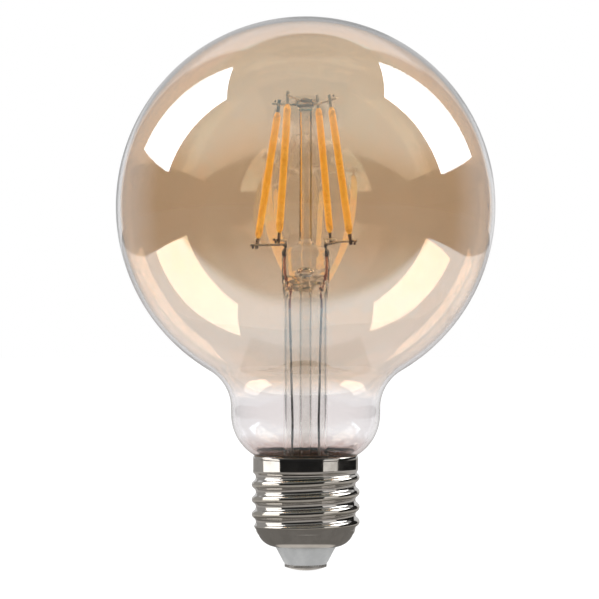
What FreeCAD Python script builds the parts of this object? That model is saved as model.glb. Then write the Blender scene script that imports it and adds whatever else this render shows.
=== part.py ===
"""Globe lamp bulb with four light strips in a clear glass globe on a 27 mm screw cap.

The origin is the lowest point of the centre contact, on the axis of the bulb. +Z points to the globe,
-Y to the viewer and +X to the right. All lengths are millimetres and all angles degrees.

The bulb is built as the real one is. A blown glass globe is sealed to a glass stem. The stem's flat
press holds the wires, and a glass rod on it ends in a button with two support wires. Four light strips
are welded between those and the leads. The neck is cemented into a rolled screw shell, which holds the
driver board and has an insulator and a contact at its foot.
"""

import FreeCAD, Part

import math
import os

import Sketcher

Vector = FreeCAD.Vector

SEAM = 0.001  # joins the edges of the rolled wall
POINTS_A_TURN = 6  # places where the thread's wave is worked out, up the wall in each turn
POINTS_AROUND = 16  # and around it

# Driving sizes, each written once: value and meaning
SIZES = {
    # Glass globe
    "bulb_length": ("135.3", "centre contact to top of globe"),
    "globe_radius": ("46.5", "outside of globe"),
    "glass_wall": ("0.9", "wall of globe and neck"),
    "shoulder_radius": ("10.55", "hollow curve from globe to neck"),
    "neck_radius": ("18.25", "outside of neck at its widest"),
    "neck_turn_height": ("38.05", "where the neck starts to round in"),
    "neck_turn_radius": ("11.8", "round of the neck towards the cap"),
    "neck_hollow_radius": ("1.5", "small hollow curve under that round"),
    "neck_end_radius": ("11.4", "outside of the sealed end"),
    "neck_end_height": ("24.6", "seal plane of neck and stem"),
    # Stem
    "stem_radius": ("5.4", "outside of stem tube"),
    "stem_wall": ("1.0", "wall of stem tube"),
    "flare_radius": ("8.4", "curve of the flare at the foot of the stem"),
    "seal_gap": ("0.05", "glass to what is sealed in it"),
    "press_root_height": ("66.0", "where the tube starts to be pinched flat"),
    "press_root_length": ("4.5", "from there to where it is fully flat"),
    "press_side_length": ("6.9", "length of the flat sides"),
    "press_crown_length": ("2.4", "from the flat sides up to the foot of the rod"),
    "press_width": ("11.6", "along X"),
    "press_depth": ("4.3", "along Y"),
    "press_crown_width": ("7.0", "along X, at the top"),
    "press_crown_depth": ("3.2", "along Y, at the top"),
    "blow_hole_lift": ("2.6", "hole into the globe, above the foot of the flat sides"),
    "blow_hole_width": ("3.8", "its width, along X"),
    "blow_hole_rise": ("1.7", "its height, along Z"),
    "blow_hole_floor": ("0.6", "from the end of the exhaust tube to that hole"),
    "exhaust_radius": ("1.5", "outside of exhaust tube"),
    "exhaust_bore": ("0.8", "inside radius of exhaust tube"),
    "exhaust_tip_height": ("19.5", "melted-off end of exhaust tube"),
    "rod_radius": ("1.55", "glass rod on the press"),
    "button_radius": ("2.9", "glass button on the rod"),
    "button_length": ("2.6", "height of the button"),
    "button_top_height": ("115.8", "top of the button"),
    "button_round": ("1.5", "round of its edges"),
    # Light strips and their tabs
    "strip_length": ("31.6", "coated length"),
    "strip_radius": ("0.9", "half the coated thickness"),
    "strip_taper": ("1.5", "length of each tapered end"),
    "strip_taper_curve": ("2.6", "curve of each tapered end"),
    "strip_foot_ring": ("12.8", "distance of each foot from the axis"),
    "tab_width": ("0.8", "metal tab at each end of a strip"),
    "tab_thickness": ("0.3", "thickness of a tab"),
    "tab_foot_length": ("2.6", "tab below the strip"),
    "tab_tip_length": ("3.2", "tab above the strip"),
    "strip_1_turn": ("156", "direction of strip 1 from the axis"),
    "strip_1_foot_rise": ("1.5", "its foot above the press"),
    "strip_1_tip_ring": ("7.6", "distance of its tip from the axis"),
    "strip_2_turn": ("240.5", "direction of strip 2"),
    "strip_2_foot_rise": ("2.1", "its foot above the press"),
    "strip_2_tip_ring": ("9.0", "distance of its tip from the axis"),
    "strip_3_turn": ("61.5", "direction of strip 3"),
    "strip_3_foot_rise": ("3.2", "its foot above the press"),
    "strip_3_tip_ring": ("6.8", "distance of its tip from the axis"),
    "strip_4_turn": ("326", "direction of strip 4"),
    "strip_4_foot_rise": ("2.0", "its foot above the press"),
    "strip_4_tip_ring": ("7.6", "distance of its tip from the axis"),
    # Wires
    "wire_radius": ("0.3", "support wires, leads and seal wires"),
    "wire_bend": ("1.2", "radius of their bends"),
    "weld_gap": ("0.05", "between parts that are welded side by side"),
    "weld_inset_foot": ("0.9", "from the lower end of a tab to its weld"),
    "weld_inset_tip": ("1.2", "from the upper end of a tab to its weld"),
    "weld_approach": ("3.0", "straight run of a lead before its tab"),
    "wire_overrun": ("1.1", "wire beyond a tab"),
    "support_drop": ("1.65", "lower support wire below the top of the button"),
    "support_step": ("0.75", "upper support wire above the lower one"),
    "support_reach": ("0.9", "level run of each support wire beside the button"),
    "seal_wire_spread": ("4.8", "seal wires from the axis, in the press"),
    "long_lead_rise": ("2.2", "from the seal wires up to the bend of the longer leads"),
    "short_lead_rise": ("3.2", "and to that of the shorter leads"),
    "lead_joint_drop": ("2.0", "where outer leads and seal wires meet, below the press"),
    "lead_joint_spread": ("3.9", "outer leads from the axis at that joint"),
    "lead_waist_height": ("36.0", "where the outer leads come nearest the axis"),
    "lead_waist_spread": ("3.2", "their distance from the axis there"),
    "lead_foot_spread": ("3.6", "their distance from the axis at the board"),
    "lead_sway": ("30", "radius of their long bend"),
    # Cap
    "thread_major_radius": ("13.2", "crest of the rolled thread"),
    "thread_minor_radius": ("12.2", "root of the rolled thread"),
    "thread_pitch": ("3.629", "rise of one turn"),
    "thread_crest_height": ("11.7", "height of a crest at +X"),
    "thread_crest_power": ("1.3", "above 1, crests are narrower than roots"),
    "thread_fade": ("1.6", "height over which the thread runs out"),
    "shell_wall": ("0.3", "sheet of the screw shell"),
    "skirt_radius": ("12.86", "plain skirt above the thread"),
    "skirt_height": ("24.6", "foot of the plain skirt"),
    "skirt_step": ("1.4", "height of the step from thread root to skirt"),
    "skirt_length": ("3.3", "height of the plain skirt"),
    "bowl_radius": ("4.7", "round of the shell at its foot"),
    "bowl_height": ("5.7", "underside of the shell"),
    "shell_hole_radius": ("6.4", "hole for the insulator"),
    "cement_gap": ("0.05", "cement to glass and shell"),
    "cement_top_drop": ("0.5", "top of the cement below the rim"),
    "cement_foot_rise": ("0.1", "foot of the cement above the foot of the skirt"),
    "fit_gap": ("0.05", "between parts that fit in each other"),
    "insulator_seat_gap": ("0.01", "insulator to the rolled underside of the shell"),
    "insulator_edge_drop": ("0.55", "height of the steep edge under the shell"),
    "insulator_edge_inset": ("0.35", "how far that edge runs in"),
    "insulator_cone_radius": ("5.6", "foot of the cone"),
    "insulator_cone_lift": ("0.8", "foot of the cone above the contact's seat"),
    "insulator_foot_radius": ("5.1", "where the contact sits"),
    "insulator_foot_height": ("1.4", "height of that face"),
    "insulator_plug_length": ("2.5", "plug inside the shell"),
    "contact_radius": ("5.15", "contact disc"),
    "contact_flat_radius": ("2.3", "flat middle of the disc"),
    "contact_dome_radius": ("14.5", "dome of the disc"),
    "contact_stem_radius": ("1.2", "rivet stem through the insulator"),
    "contact_stem_stub": ("0.8", "stem above the insulator"),
    "contact_bore_depth": ("3.0", "socket for the fuse lead in the stem"),
    # Driver board
    "board_radius": ("9.8", "round board inside the shell"),
    "board_thickness": ("1.0", "its thickness"),
    "board_height": ("16.0", "its underside"),
    "board_hole_gap": ("0.1", "hole round each lead"),
    "board_stub": ("0.8", "leads past the face of the board"),
    "fuse_waist_radius": ("1.05", "middle of the fuse resistor"),
    "fuse_bead_curve": ("0.6", "round of the thicker bead at each of its ends"),
    "fuse_length": ("5.0", "its body"),
    "fuse_bead": ("1.0", "length of each end bead"),
    "fuse_foot_lift": ("0.8", "foot of its body above the contact's stem"),
    "fuse_lead_radius": ("0.3", "its leads"),
    "capacitor_radius": ("3.15", "smoothing capacitor"),
    "capacitor_length": ("6.6", "height of its can"),
    "capacitor_offset": ("5.3", "from the axis towards -Y"),
    "capacitor_crimp": ("0.8", "height of the crimp round the can"),
    "capacitor_crimp_curve": ("0.5", "round of that crimp"),
    "capacitor_crimp_drop": ("1.0", "crimp below the board"),
    "rectifier_length": ("4.7", "along X"),
    "rectifier_width": ("3.9", "along Y"),
    "rectifier_thickness": ("1.5", "height of its case"),
    "rectifier_offset": ("5.6", "from the axis towards -Y"),
    "chip_length": ("4.9", "driver chip along X"),
    "chip_width": ("3.8", "along Y"),
    "chip_thickness": ("1.45", "height of its case"),
    "chip_offset": ("5.4", "from the axis towards +Y"),
    "resistor_length": ("2.0", "chip resistor along Y"),
    "resistor_width": ("1.25", "along X"),
    "resistor_thickness": ("0.55", "its height"),
    "resistor_offset": ("6.6", "from the axis along X"),
    "neutral_radius": ("0.25", "neutral wire from board to shell"),
    "neutral_offset": ("8.8", "from the axis at the board"),
    "neutral_bend_rise": ("2.4", "from the board up to where it bends out"),
    "neutral_slope_rise": ("1.4", "from there up to where it meets the wall"),
    "neutral_wall_rise": ("2.1", "from there up to its end"),
}

# Places that follow from the sizes
FITS = {
    "globe_height": "Sizes.bulb_length - Sizes.globe_radius",
    "shoulder_reach": "Sizes.neck_radius + Sizes.shoulder_radius",
    "shoulder_height": "globe_height"
    " - sqrt((Sizes.globe_radius + Sizes.shoulder_radius)^2 - shoulder_reach^2)",
    "globe_foot_radius": "shoulder_reach * Sizes.globe_radius"
    " / (Sizes.globe_radius + Sizes.shoulder_radius)",
    "globe_foot_height": "shoulder_height + (globe_height - shoulder_height)"
    " * Sizes.shoulder_radius / (Sizes.globe_radius + Sizes.shoulder_radius)",
    "neck_turn_reach": "Sizes.neck_radius - Sizes.neck_turn_radius",
    "neck_hollow_reach": "Sizes.neck_end_radius + Sizes.neck_hollow_radius",
    "neck_hollow_height": "Sizes.neck_turn_height"
    " - sqrt((Sizes.neck_turn_radius + Sizes.neck_hollow_radius)^2"
    " - (neck_hollow_reach - neck_turn_reach)^2)",
    "neck_turn_end_radius": "neck_turn_reach + (neck_hollow_reach - neck_turn_reach)"
    " * Sizes.neck_turn_radius / (Sizes.neck_turn_radius + Sizes.neck_hollow_radius)",
    "neck_turn_end_height": "Sizes.neck_turn_height - (Sizes.neck_turn_height - neck_hollow_height)"
    " * Sizes.neck_turn_radius / (Sizes.neck_turn_radius + Sizes.neck_hollow_radius)",
    "cavity_top": "Sizes.bulb_length - Sizes.glass_wall",
    "cavity_radius": "Sizes.globe_radius - Sizes.glass_wall",
    "cavity_shoulder_radius": "Sizes.shoulder_radius + Sizes.glass_wall",
    "cavity_neck_radius": "Sizes.neck_radius - Sizes.glass_wall",
    "cavity_turn_radius": "Sizes.neck_turn_radius - Sizes.glass_wall",
    "cavity_hollow_radius": "Sizes.neck_hollow_radius + Sizes.glass_wall",
    "cavity_end_radius": "Sizes.neck_end_radius - Sizes.glass_wall",
    "cavity_foot_radius": "shoulder_reach * cavity_radius / (Sizes.globe_radius + Sizes.shoulder_radius)",
    "cavity_foot_height": "shoulder_height + (globe_height - shoulder_height)"
    " * cavity_shoulder_radius / (Sizes.globe_radius + Sizes.shoulder_radius)",
    "cavity_turn_end_radius": "neck_turn_reach + (neck_hollow_reach - neck_turn_reach)"
    " * cavity_turn_radius / (Sizes.neck_turn_radius + Sizes.neck_hollow_radius)",
    "cavity_turn_end_height": "Sizes.neck_turn_height - (Sizes.neck_turn_height - neck_hollow_height)"
    " * cavity_turn_radius / (Sizes.neck_turn_radius + Sizes.neck_hollow_radius)",
    "stem_bore": "Sizes.stem_radius - Sizes.stem_wall",
    "flare_height": "Sizes.neck_end_height + Sizes.flare_radius",
    "flare_reach": "Sizes.stem_radius + Sizes.flare_radius",
    "flare_lip_radius": "cavity_end_radius - Sizes.seal_gap",
    "flare_lip_height": "flare_height - sqrt(Sizes.flare_radius^2 - (flare_reach - flare_lip_radius)^2)",
    "flare_under_radius": "Sizes.flare_radius + Sizes.stem_wall",
    "flare_under_height": "flare_height - sqrt(flare_under_radius^2"
    " - (flare_reach - Sizes.neck_end_radius)^2)",
    "press_foot_height": "Sizes.press_root_height + Sizes.press_root_length",
    "press_shoulder_height": "press_foot_height + Sizes.press_side_length",
    "press_top_height": "press_shoulder_height + Sizes.press_crown_length",
    "blow_hole_height": "press_foot_height + Sizes.blow_hole_lift",
    "exhaust_top_height": "blow_hole_height - Sizes.blow_hole_rise / 2 - Sizes.blow_hole_floor",
    "exhaust_bore_foot": "Sizes.exhaust_tip_height + Sizes.exhaust_radius",
    "button_foot_height": "Sizes.button_top_height - Sizes.button_length",
    "button_low_edge": "button_foot_height + Sizes.button_round",
    "button_high_edge": "Sizes.button_top_height - Sizes.button_round / 2",
    "button_top_radius": "Sizes.button_radius - Sizes.button_round / 2",
    "long_lead_knee_height": "press_shoulder_height + Sizes.long_lead_rise",
    "short_lead_knee_height": "press_shoulder_height + Sizes.short_lead_rise",
    "lead_joint_height": "Sizes.press_root_height - Sizes.lead_joint_drop",
    "strip_end_radius": "Sizes.tab_width / 2",
    "strip_tip_taper": "Sizes.strip_length - Sizes.strip_taper",
    "rim_height": "Sizes.skirt_height + Sizes.skirt_length",
    "skirt_bore": "Sizes.skirt_radius - Sizes.shell_wall",
    "cement_bore": "Sizes.neck_end_radius + Sizes.cement_gap",
    "cement_radius": "skirt_bore - Sizes.cement_gap",
    "cement_foot": "Sizes.skirt_height + Sizes.cement_foot_rise",
    "cement_top": "rim_height - Sizes.cement_top_drop",
    "cement_hollow_radius": "Sizes.neck_hollow_radius - Sizes.cement_gap",
    "cement_top_bore": "neck_hollow_reach"
    " - sqrt(cement_hollow_radius^2 - (cement_top - neck_hollow_height)^2)",
    "bowl_reach": "Sizes.thread_minor_radius - Sizes.bowl_radius",
    "bowl_top": "Sizes.bowl_height + Sizes.bowl_radius",
    "insulator_edge_radius": "bowl_reach - Sizes.insulator_edge_inset",
    "insulator_seat_height": "Sizes.bowl_height - Sizes.insulator_seat_gap",
    "insulator_edge_height": "insulator_seat_height - Sizes.insulator_edge_drop",
    "insulator_cone_height": "Sizes.insulator_foot_height + Sizes.insulator_cone_lift",
    "insulator_plug_radius": "Sizes.shell_hole_radius - Sizes.fit_gap",
    "insulator_top_height": "Sizes.bowl_height + Sizes.insulator_plug_length",
    "insulator_bore": "Sizes.contact_stem_radius + Sizes.fit_gap",
    "contact_edge_height": "sqrt(Sizes.contact_dome_radius^2 - Sizes.contact_flat_radius^2)"
    " - sqrt(Sizes.contact_dome_radius^2 - Sizes.contact_radius^2)",
    "contact_bore": "Sizes.fuse_lead_radius + Sizes.fit_gap",
    "contact_stem_height": "insulator_top_height + Sizes.contact_stem_stub",
    "contact_bore_foot": "contact_stem_height - Sizes.contact_bore_depth",
    "board_top": "Sizes.board_height + Sizes.board_thickness",
    "board_lead_hole": "Sizes.wire_radius + Sizes.board_hole_gap",
    "board_fuse_hole": "Sizes.fuse_lead_radius + Sizes.board_hole_gap",
    "board_neutral_hole": "Sizes.neutral_radius + Sizes.board_hole_gap",
    "board_lead_foot": "Sizes.board_height - Sizes.board_stub",
    "fuse_lead_foot": "contact_bore_foot + Sizes.fit_gap",
    "fuse_lead_top": "board_top + Sizes.board_stub",
    "fuse_foot_height": "contact_stem_height + Sizes.fuse_foot_lift",
    "fuse_low_bead": "fuse_foot_height + Sizes.fuse_bead",
    "fuse_top": "fuse_foot_height + Sizes.fuse_length",
    "fuse_high_bead": "fuse_top - Sizes.fuse_bead",
    "capacitor_foot": "Sizes.board_height - Sizes.capacitor_length",
    "capacitor_crimp_top": "Sizes.capacitor_length - Sizes.capacitor_crimp_drop",
    "capacitor_crimp_foot": "capacitor_crimp_top - Sizes.capacitor_crimp",
    "neutral_bend_height": "board_top + Sizes.neutral_bend_rise",
    "neutral_wall_height": "neutral_bend_height + Sizes.neutral_slope_rise",
    "neutral_top_height": "neutral_wall_height + Sizes.neutral_wall_rise",
}

doc = FreeCAD.newDocument("GlobeBulb")

sheet = doc.addObject("Spreadsheet::Sheet", "Sizes")
for row, (name, (value, meaning)) in enumerate(SIZES.items(), start=1):
    sheet.set("A%d" % row, name)
    sheet.set("B%d" % row, value)
    sheet.set("C%d" % row, meaning)
    sheet.setAlias("B%d" % row, name)
doc.recompute()

fits = doc.addObject("App::VarSet", "Fits")
for name, formula in FITS.items():
    fits.addProperty("App::PropertyFloat", name, "Fits")
    fits.setExpression(name, formula)
doc.recompute()

pieces = []


def reference(name):
    """The full name of a driving size or of a place that follows from the sizes."""
    return ("Sizes." if name in SIZES else "Fits.") + name


def value(name):
    """Its present value."""
    return float(getattr(sheet if name in SIZES else fits, name))


def piece(part, label):
    """Name a finished sub-part and add it to the list that is written out."""
    part.Label = label
    pieces.append(part)
    return part


def bind(part, **formulas):
    """Tie properties of an object to formulas, a double underscore standing for a dot."""
    for name, formula in formulas.items():
        part.setExpression(name.replace("__", "."), formula)
    return part


def arc_between(start, end, radius, side):
    """The shorter arc from start to end, bulging to the left (side 1) or right (side -1) of the way."""
    chord = end - start
    across = Vector(-chord.y, chord.x, 0).normalize()
    rise = radius - math.sqrt(radius**2 - (chord.Length / 2) ** 2)
    return Part.Arc(start, start + chord / 2 + across * rise * side, end)


def outline(body, corners):
    """Draw a closed outline beside the Z axis, each corner and arc tied to its named size.

    A corner is (distance from the axis, height), both by name or None for zero. A third and a fourth
    entry name the radius and the side of the arc that leads to the next corner.
    """
    sketch = body.newObject("Sketcher::SketchObject", body.Name + "Outline")
    plane = [feature for feature in body.Origin.OriginFeatures if feature.Role == "XZ_Plane"]
    sketch.AttachmentSupport = (plane[0], [""])
    sketch.MapMode = "FlatFace"
    points = [Vector(*[value(name) if name else 0 for name in corner[:2]], 0) for corner in corners]
    for index, corner in enumerate(corners):
        start, end = points[index], points[(index + 1) % len(points)]
        if len(corner) > 2:
            sketch.addGeometry(arc_between(start, end, value(corner[2]), corner[3]))
            number = sketch.addConstraint(Sketcher.Constraint("Radius", index, value(corner[2])))
            sketch.setExpression("Constraints[%d]" % number, reference(corner[2]))
        else:
            sketch.addGeometry(Part.LineSegment(start, end))
    for index, corner in enumerate(corners):
        # An arc may run against its sketch direction, so its ends are told apart by their place
        first = end_near(sketch, index, points[index])
        last = end_near(sketch, index - 1 if index else len(corners) - 1, points[index])
        before = index - 1 if index else len(corners) - 1
        sketch.addConstraint(Sketcher.Constraint("Coincident", before, last, index, first))
        for kind, name, axis in (("DistanceX", corner[0], -2), ("DistanceY", corner[1], -1)):
            if name:
                number = sketch.addConstraint(Sketcher.Constraint(kind, -1, 1, index, first, value(name)))
                sketch.setExpression("Constraints[%d]" % number, reference(name))
            else:
                sketch.addConstraint(Sketcher.Constraint("PointOnObject", index, first, axis))
    return sketch


def end_near(sketch, index, point):
    """1 if the edge starts at the point, 2 if it ends there."""
    return min((1, 2), key=lambda end: sketch.getPoint(index, end).distanceToPoint(point))


def turned(label, corners):
    """A body of revolution about the Z axis."""
    body = doc.addObject("PartDesign::Body", label)
    sketch = outline(body, corners)
    turn = body.newObject("PartDesign::Revolution", label + "Turn")
    turn.Profile = sketch
    turn.ReferenceAxis = (sketch, ["V_Axis"])
    turn.Angle = 360
    return body


def rod(label, radius, length, x="0", y="0", z="0"):
    """An upright cylinder, all of it given by formulas."""
    return bind(
        doc.addObject("Part::Cylinder", label),
        Radius=radius,
        Height=length,
        Placement__Base__x=x,
        Placement__Base__y=y,
        Placement__Base__z=z,
    )


def block(label, length, width, height, x, y, z):
    """A box centred on x and y, standing on z, all of it given by formulas."""
    box = doc.addObject("Part::Box", label)
    return bind(
        box,
        Length=length,
        Width=width,
        Height=height,
        Placement__Base__x="%s - %s / 2" % (x, length),
        Placement__Base__y="%s - %s / 2" % (y, width),
        Placement__Base__z=z,
    )


def fused(label, parts):
    union = doc.addObject("Part::MultiFuse", label)
    union.Shapes = parts
    return union


def cut(label, base, tool):
    difference = doc.addObject("Part::Cut", label)
    difference.Base = base
    difference.Tool = tool
    return difference


def formed(label, shape):
    """A sub-part whose shape comes from its own formulas."""
    part = doc.addObject("Part::Feature", label)
    part.Shape = shape
    part.Placement = FreeCAD.Placement()
    return part


def bent(points, radius, bend):
    """A round wire through the points, with tangent arcs of the bend radius at the inner ones."""
    runs = []
    start = points[0]
    for before, corner, after in zip(points, points[1:], points[2:]):
        back = (before - corner).normalize()
        ahead = (after - corner).normalize()
        half = back.getAngle(ahead) / 2
        reach = bend / math.tan(half)
        middle = corner + (back + ahead).normalize() * (bend / math.sin(half) - bend)
        runs.append(Part.LineSegment(start, corner + back * reach).toShape())
        runs.append(Part.Arc(corner + back * reach, middle, corner + ahead * reach).toShape())
        start = corner + ahead * reach
    runs.append(Part.LineSegment(start, points[-1]).toShape())
    section = Part.Wire(Part.makeCircle(radius, points[0], points[1] - points[0]))
    return Part.Wire(runs).makePipeShell([section], True, False)


def glass_globe():
    """Blown in one piece with the neck, and of even wall."""
    globe = turned(
        "GlassGlobe",
        [
            ("neck_end_radius", "neck_end_height"),
            ("neck_end_radius", "neck_hollow_height", "neck_hollow_radius", 1),
            ("neck_turn_end_radius", "neck_turn_end_height", "neck_turn_radius", -1),
            ("neck_radius", "neck_turn_height"),
            ("neck_radius", "shoulder_height", "shoulder_radius", 1),
            ("globe_foot_radius", "globe_foot_height", "globe_radius", -1),
            (None, "bulb_length"),
            (None, "cavity_top", "cavity_radius", 1),
            ("cavity_foot_radius", "cavity_foot_height", "cavity_shoulder_radius", -1),
            ("cavity_neck_radius", "shoulder_height"),
            ("cavity_neck_radius", "neck_turn_height", "cavity_turn_radius", 1),
            ("cavity_turn_end_radius", "cavity_turn_end_height", "cavity_hollow_radius", -1),
            ("cavity_end_radius", "neck_hollow_height"),
            ("cavity_end_radius", "neck_end_height"),
        ],
    )
    piece(globe, "glass_globe")


def pinch(label, low, high):
    """A loft between two ovals, each given by its width, its depth and its height."""
    ovals = []
    for end, (width, depth, height) in zip(("Low", "High"), (low, high)):
        oval = doc.addObject("Part::Ellipse", label + end)
        bind(oval, MajorRadius=width + " / 2", MinorRadius=depth + " / 2", Placement__Base__z=height)
        ovals.append(oval)
    loft = doc.addObject("Part::Loft", label)
    loft.Sections = ovals
    loft.Solid = True
    loft.Ruled = True
    return loft


def seal_wire_paths():
    """The way of each seal wire through the press, by side."""
    joint, spread = value("lead_joint_spread"), value("seal_wire_spread")
    corners = [
        (joint, value("lead_joint_height")),
        (joint, (value("press_root_height") + value("press_foot_height")) / 2),
        (spread, value("blow_hole_height")),
        (spread, value("press_shoulder_height")),
    ]
    return {
        side: [Vector(way * across, 0, height) for across, height in corners]
        for side, way in (("left", -1), ("right", 1))
    }


def strip_frame(number):
    """The foot and the tip of a light strip, and its directions: outward, sideways and along."""
    turn = math.radians(value("strip_%d_turn" % number))
    outward = Vector(math.cos(turn), math.sin(turn), 0)
    sideways = Vector(-math.sin(turn), math.cos(turn), 0)
    foot_ring, tip_ring = value("strip_foot_ring"), value("strip_%d_tip_ring" % number)
    length = value("strip_length")
    rise = math.sqrt(length**2 - (foot_ring - tip_ring) ** 2)
    height = value("press_top_height") + value("strip_%d_foot_rise" % number)
    foot = outward * foot_ring + Vector(0, 0, height)
    tip = outward * tip_ring + Vector(0, 0, height + rise)
    return foot, tip, outward, sideways, (tip - foot).normalize()


def weld_points(number, side):
    """The middles of a wire where it lies against the lower and the upper tab of a strip."""
    foot, tip, outward, sideways, along = strip_frame(number)
    beside = sideways * side * (value("tab_thickness") / 2 + value("wire_radius") + value("weld_gap"))
    low = foot - along * (value("tab_foot_length") - value("weld_inset_foot")) + beside
    high = tip + along * (value("tab_tip_length") - value("weld_inset_tip")) + beside
    return low, high


def lead_paths():
    """The way of each lead from its seal wire to the lower tab of its strip, by name."""
    paths = {}
    for name, number, way, side, knee in (
        ("lead_left_long", 1, -1, 1, "long_lead_knee_height"),
        ("lead_left_short", 2, -1, -1, "short_lead_knee_height"),
        ("lead_right_long", 4, 1, -1, "long_lead_knee_height"),
        ("lead_right_short", 3, 1, 1, "short_lead_knee_height"),
    ):
        outward = strip_frame(number)[2]
        weld = weld_points(number, -way * side)[0]
        start = Vector(
            way * value("seal_wire_spread"),
            side * (value("wire_radius") + value("weld_gap") / 2),
            value("press_shoulder_height") + value("weld_gap"),
        )
        paths[name] = [
            start,
            Vector(start.x, start.y, value(knee)),
            weld - outward * value("weld_approach"),
            weld + outward * (value("tab_width") / 2 + value("wire_overrun")),
        ]
    return paths


def support_paths():
    """The way of each support wire through the button, from strip to strip, by name."""
    low = value("button_top_height") - value("support_drop")
    paths = {}
    for name, first, second, height in (
        ("top_support_wire_a", 1, 4, low),
        ("top_support_wire_b", 2, 3, low + value("support_step")),
    ):
        runs = []
        for number in (first, second):
            weld = weld_points(number, 1)[1]
            level = Vector(weld.x, weld.y, 0).normalize()
            knee = level * (value("button_radius") + value("support_reach")) + Vector(0, 0, height)
            overrun = value("tab_width") / 2 + value("wire_overrun")
            runs.append((weld + (weld - knee).normalize() * overrun, knee))
        (start, first_knee), (end, last_knee) = runs
        paths[name] = [start, first_knee, Vector(0, 0, height), last_knee, end]
    return paths


def wire_sleeve(label, paths):
    """What the glass leaves free around the wires sealed in it."""
    sleeve = value("wire_radius") + value("seal_gap")
    return [
        formed("%s%d" % (label, number), bent(path, sleeve, value("wire_bend")))
        for number, path in enumerate(paths, start=1)
    ]


def stem():
    """The stem tube with its flare and flat press, and the exhaust tube that stands in it."""
    tube = turned(
        "StemTube",
        [
            ("stem_bore", "flare_height"),
            ("stem_bore", "press_root_height"),
            ("stem_radius", "press_root_height"),
            ("stem_radius", "flare_height", "flare_radius", -1),
            ("flare_lip_radius", "flare_lip_height"),
            ("flare_lip_radius", "neck_end_height"),
            ("neck_end_radius", "neck_end_height"),
            ("neck_end_radius", "flare_under_height", "flare_under_radius", 1),
        ],
    )
    flat = ("Sizes.press_width", "Sizes.press_depth")
    round_tube = ("2 * Sizes.stem_radius", "2 * Sizes.stem_radius")
    root = pinch("PressRoot", (*round_tube, "Sizes.press_root_height"), (*flat, "Fits.press_foot_height"))
    sides = pinch("PressSides", (*flat, "Fits.press_foot_height"), (*flat, "Fits.press_shoulder_height"))
    crown = pinch(
        "PressCrown",
        (*flat, "Fits.press_shoulder_height"),
        ("Sizes.press_crown_width", "Sizes.press_crown_depth", "Fits.press_top_height"),
    )
    glass = fused("PressedGlass", [tube, root, sides, crown])
    socket = rod(
        "ExhaustSocket",
        "Sizes.exhaust_radius + Sizes.seal_gap",
        "Fits.exhaust_top_height - Sizes.press_root_height + Sizes.stem_wall",
        z="Sizes.press_root_height - Sizes.stem_wall",
    )
    passage = rod(
        "Passage",
        "Sizes.exhaust_bore",
        "Fits.blow_hole_height - Fits.exhaust_top_height + Sizes.seal_gap",
        z="Fits.exhaust_top_height - Sizes.seal_gap",
    )
    mouth = doc.addObject("Part::Ellipse", "BlowHoleMouth")
    bind(
        mouth,
        MajorRadius="Sizes.blow_hole_width / 2",
        MinorRadius="Sizes.blow_hole_rise / 2",
        Placement__Base__y="-Sizes.press_depth",
        Placement__Base__z="Fits.blow_hole_height",
    )
    mouth.Placement.Rotation = FreeCAD.Rotation(Vector(1, 0, 0), 90)
    hole = doc.addObject("Part::Extrusion", "BlowHole")
    hole.Base = mouth
    hole.DirMode = "Custom"
    hole.Dir = Vector(0, 1, 0)
    hole.Solid = True
    bind(hole, LengthFwd="2 * Sizes.press_depth")
    sleeves = wire_sleeve("SealSleeve", list(seal_wire_paths().values()) + list(lead_paths().values()))
    free = fused("StemHollows", [socket, passage, hole, *sleeves])
    piece(cut("StemGlass", glass, free), "stem_tube")

    exhaust = turned(
        "ExhaustTube",
        [
            (None, "exhaust_tip_height", "exhaust_radius", -1),
            ("exhaust_radius", "exhaust_bore_foot"),
            ("exhaust_radius", "exhaust_top_height"),
            ("exhaust_bore", "exhaust_top_height"),
            ("exhaust_bore", "exhaust_bore_foot"),
            (None, "exhaust_bore_foot"),
        ],
    )
    piece(exhaust, "exhaust_tube")


def rod_and_supports():
    """The glass rod with its button, and the two support wires that cross in the button."""
    glass = turned(
        "RodGlass",
        [
            (None, "press_top_height"),
            ("rod_radius", "press_top_height"),
            ("rod_radius", "button_foot_height", "button_round", -1),
            ("button_radius", "button_low_edge"),
            ("button_radius", "button_high_edge", "button_round", -1),
            ("button_top_radius", "button_top_height"),
            (None, "button_top_height"),
        ],
    )
    paths = support_paths()
    sleeves = fused("ButtonHollows", wire_sleeve("ButtonSleeve", list(paths.values())))
    piece(cut("CentreRod", glass, sleeves), "centre_rod")
    for name, path in paths.items():
        wire = formed(name, bent(path, value("wire_radius"), value("wire_bend")))
        piece(wire, name)


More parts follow.
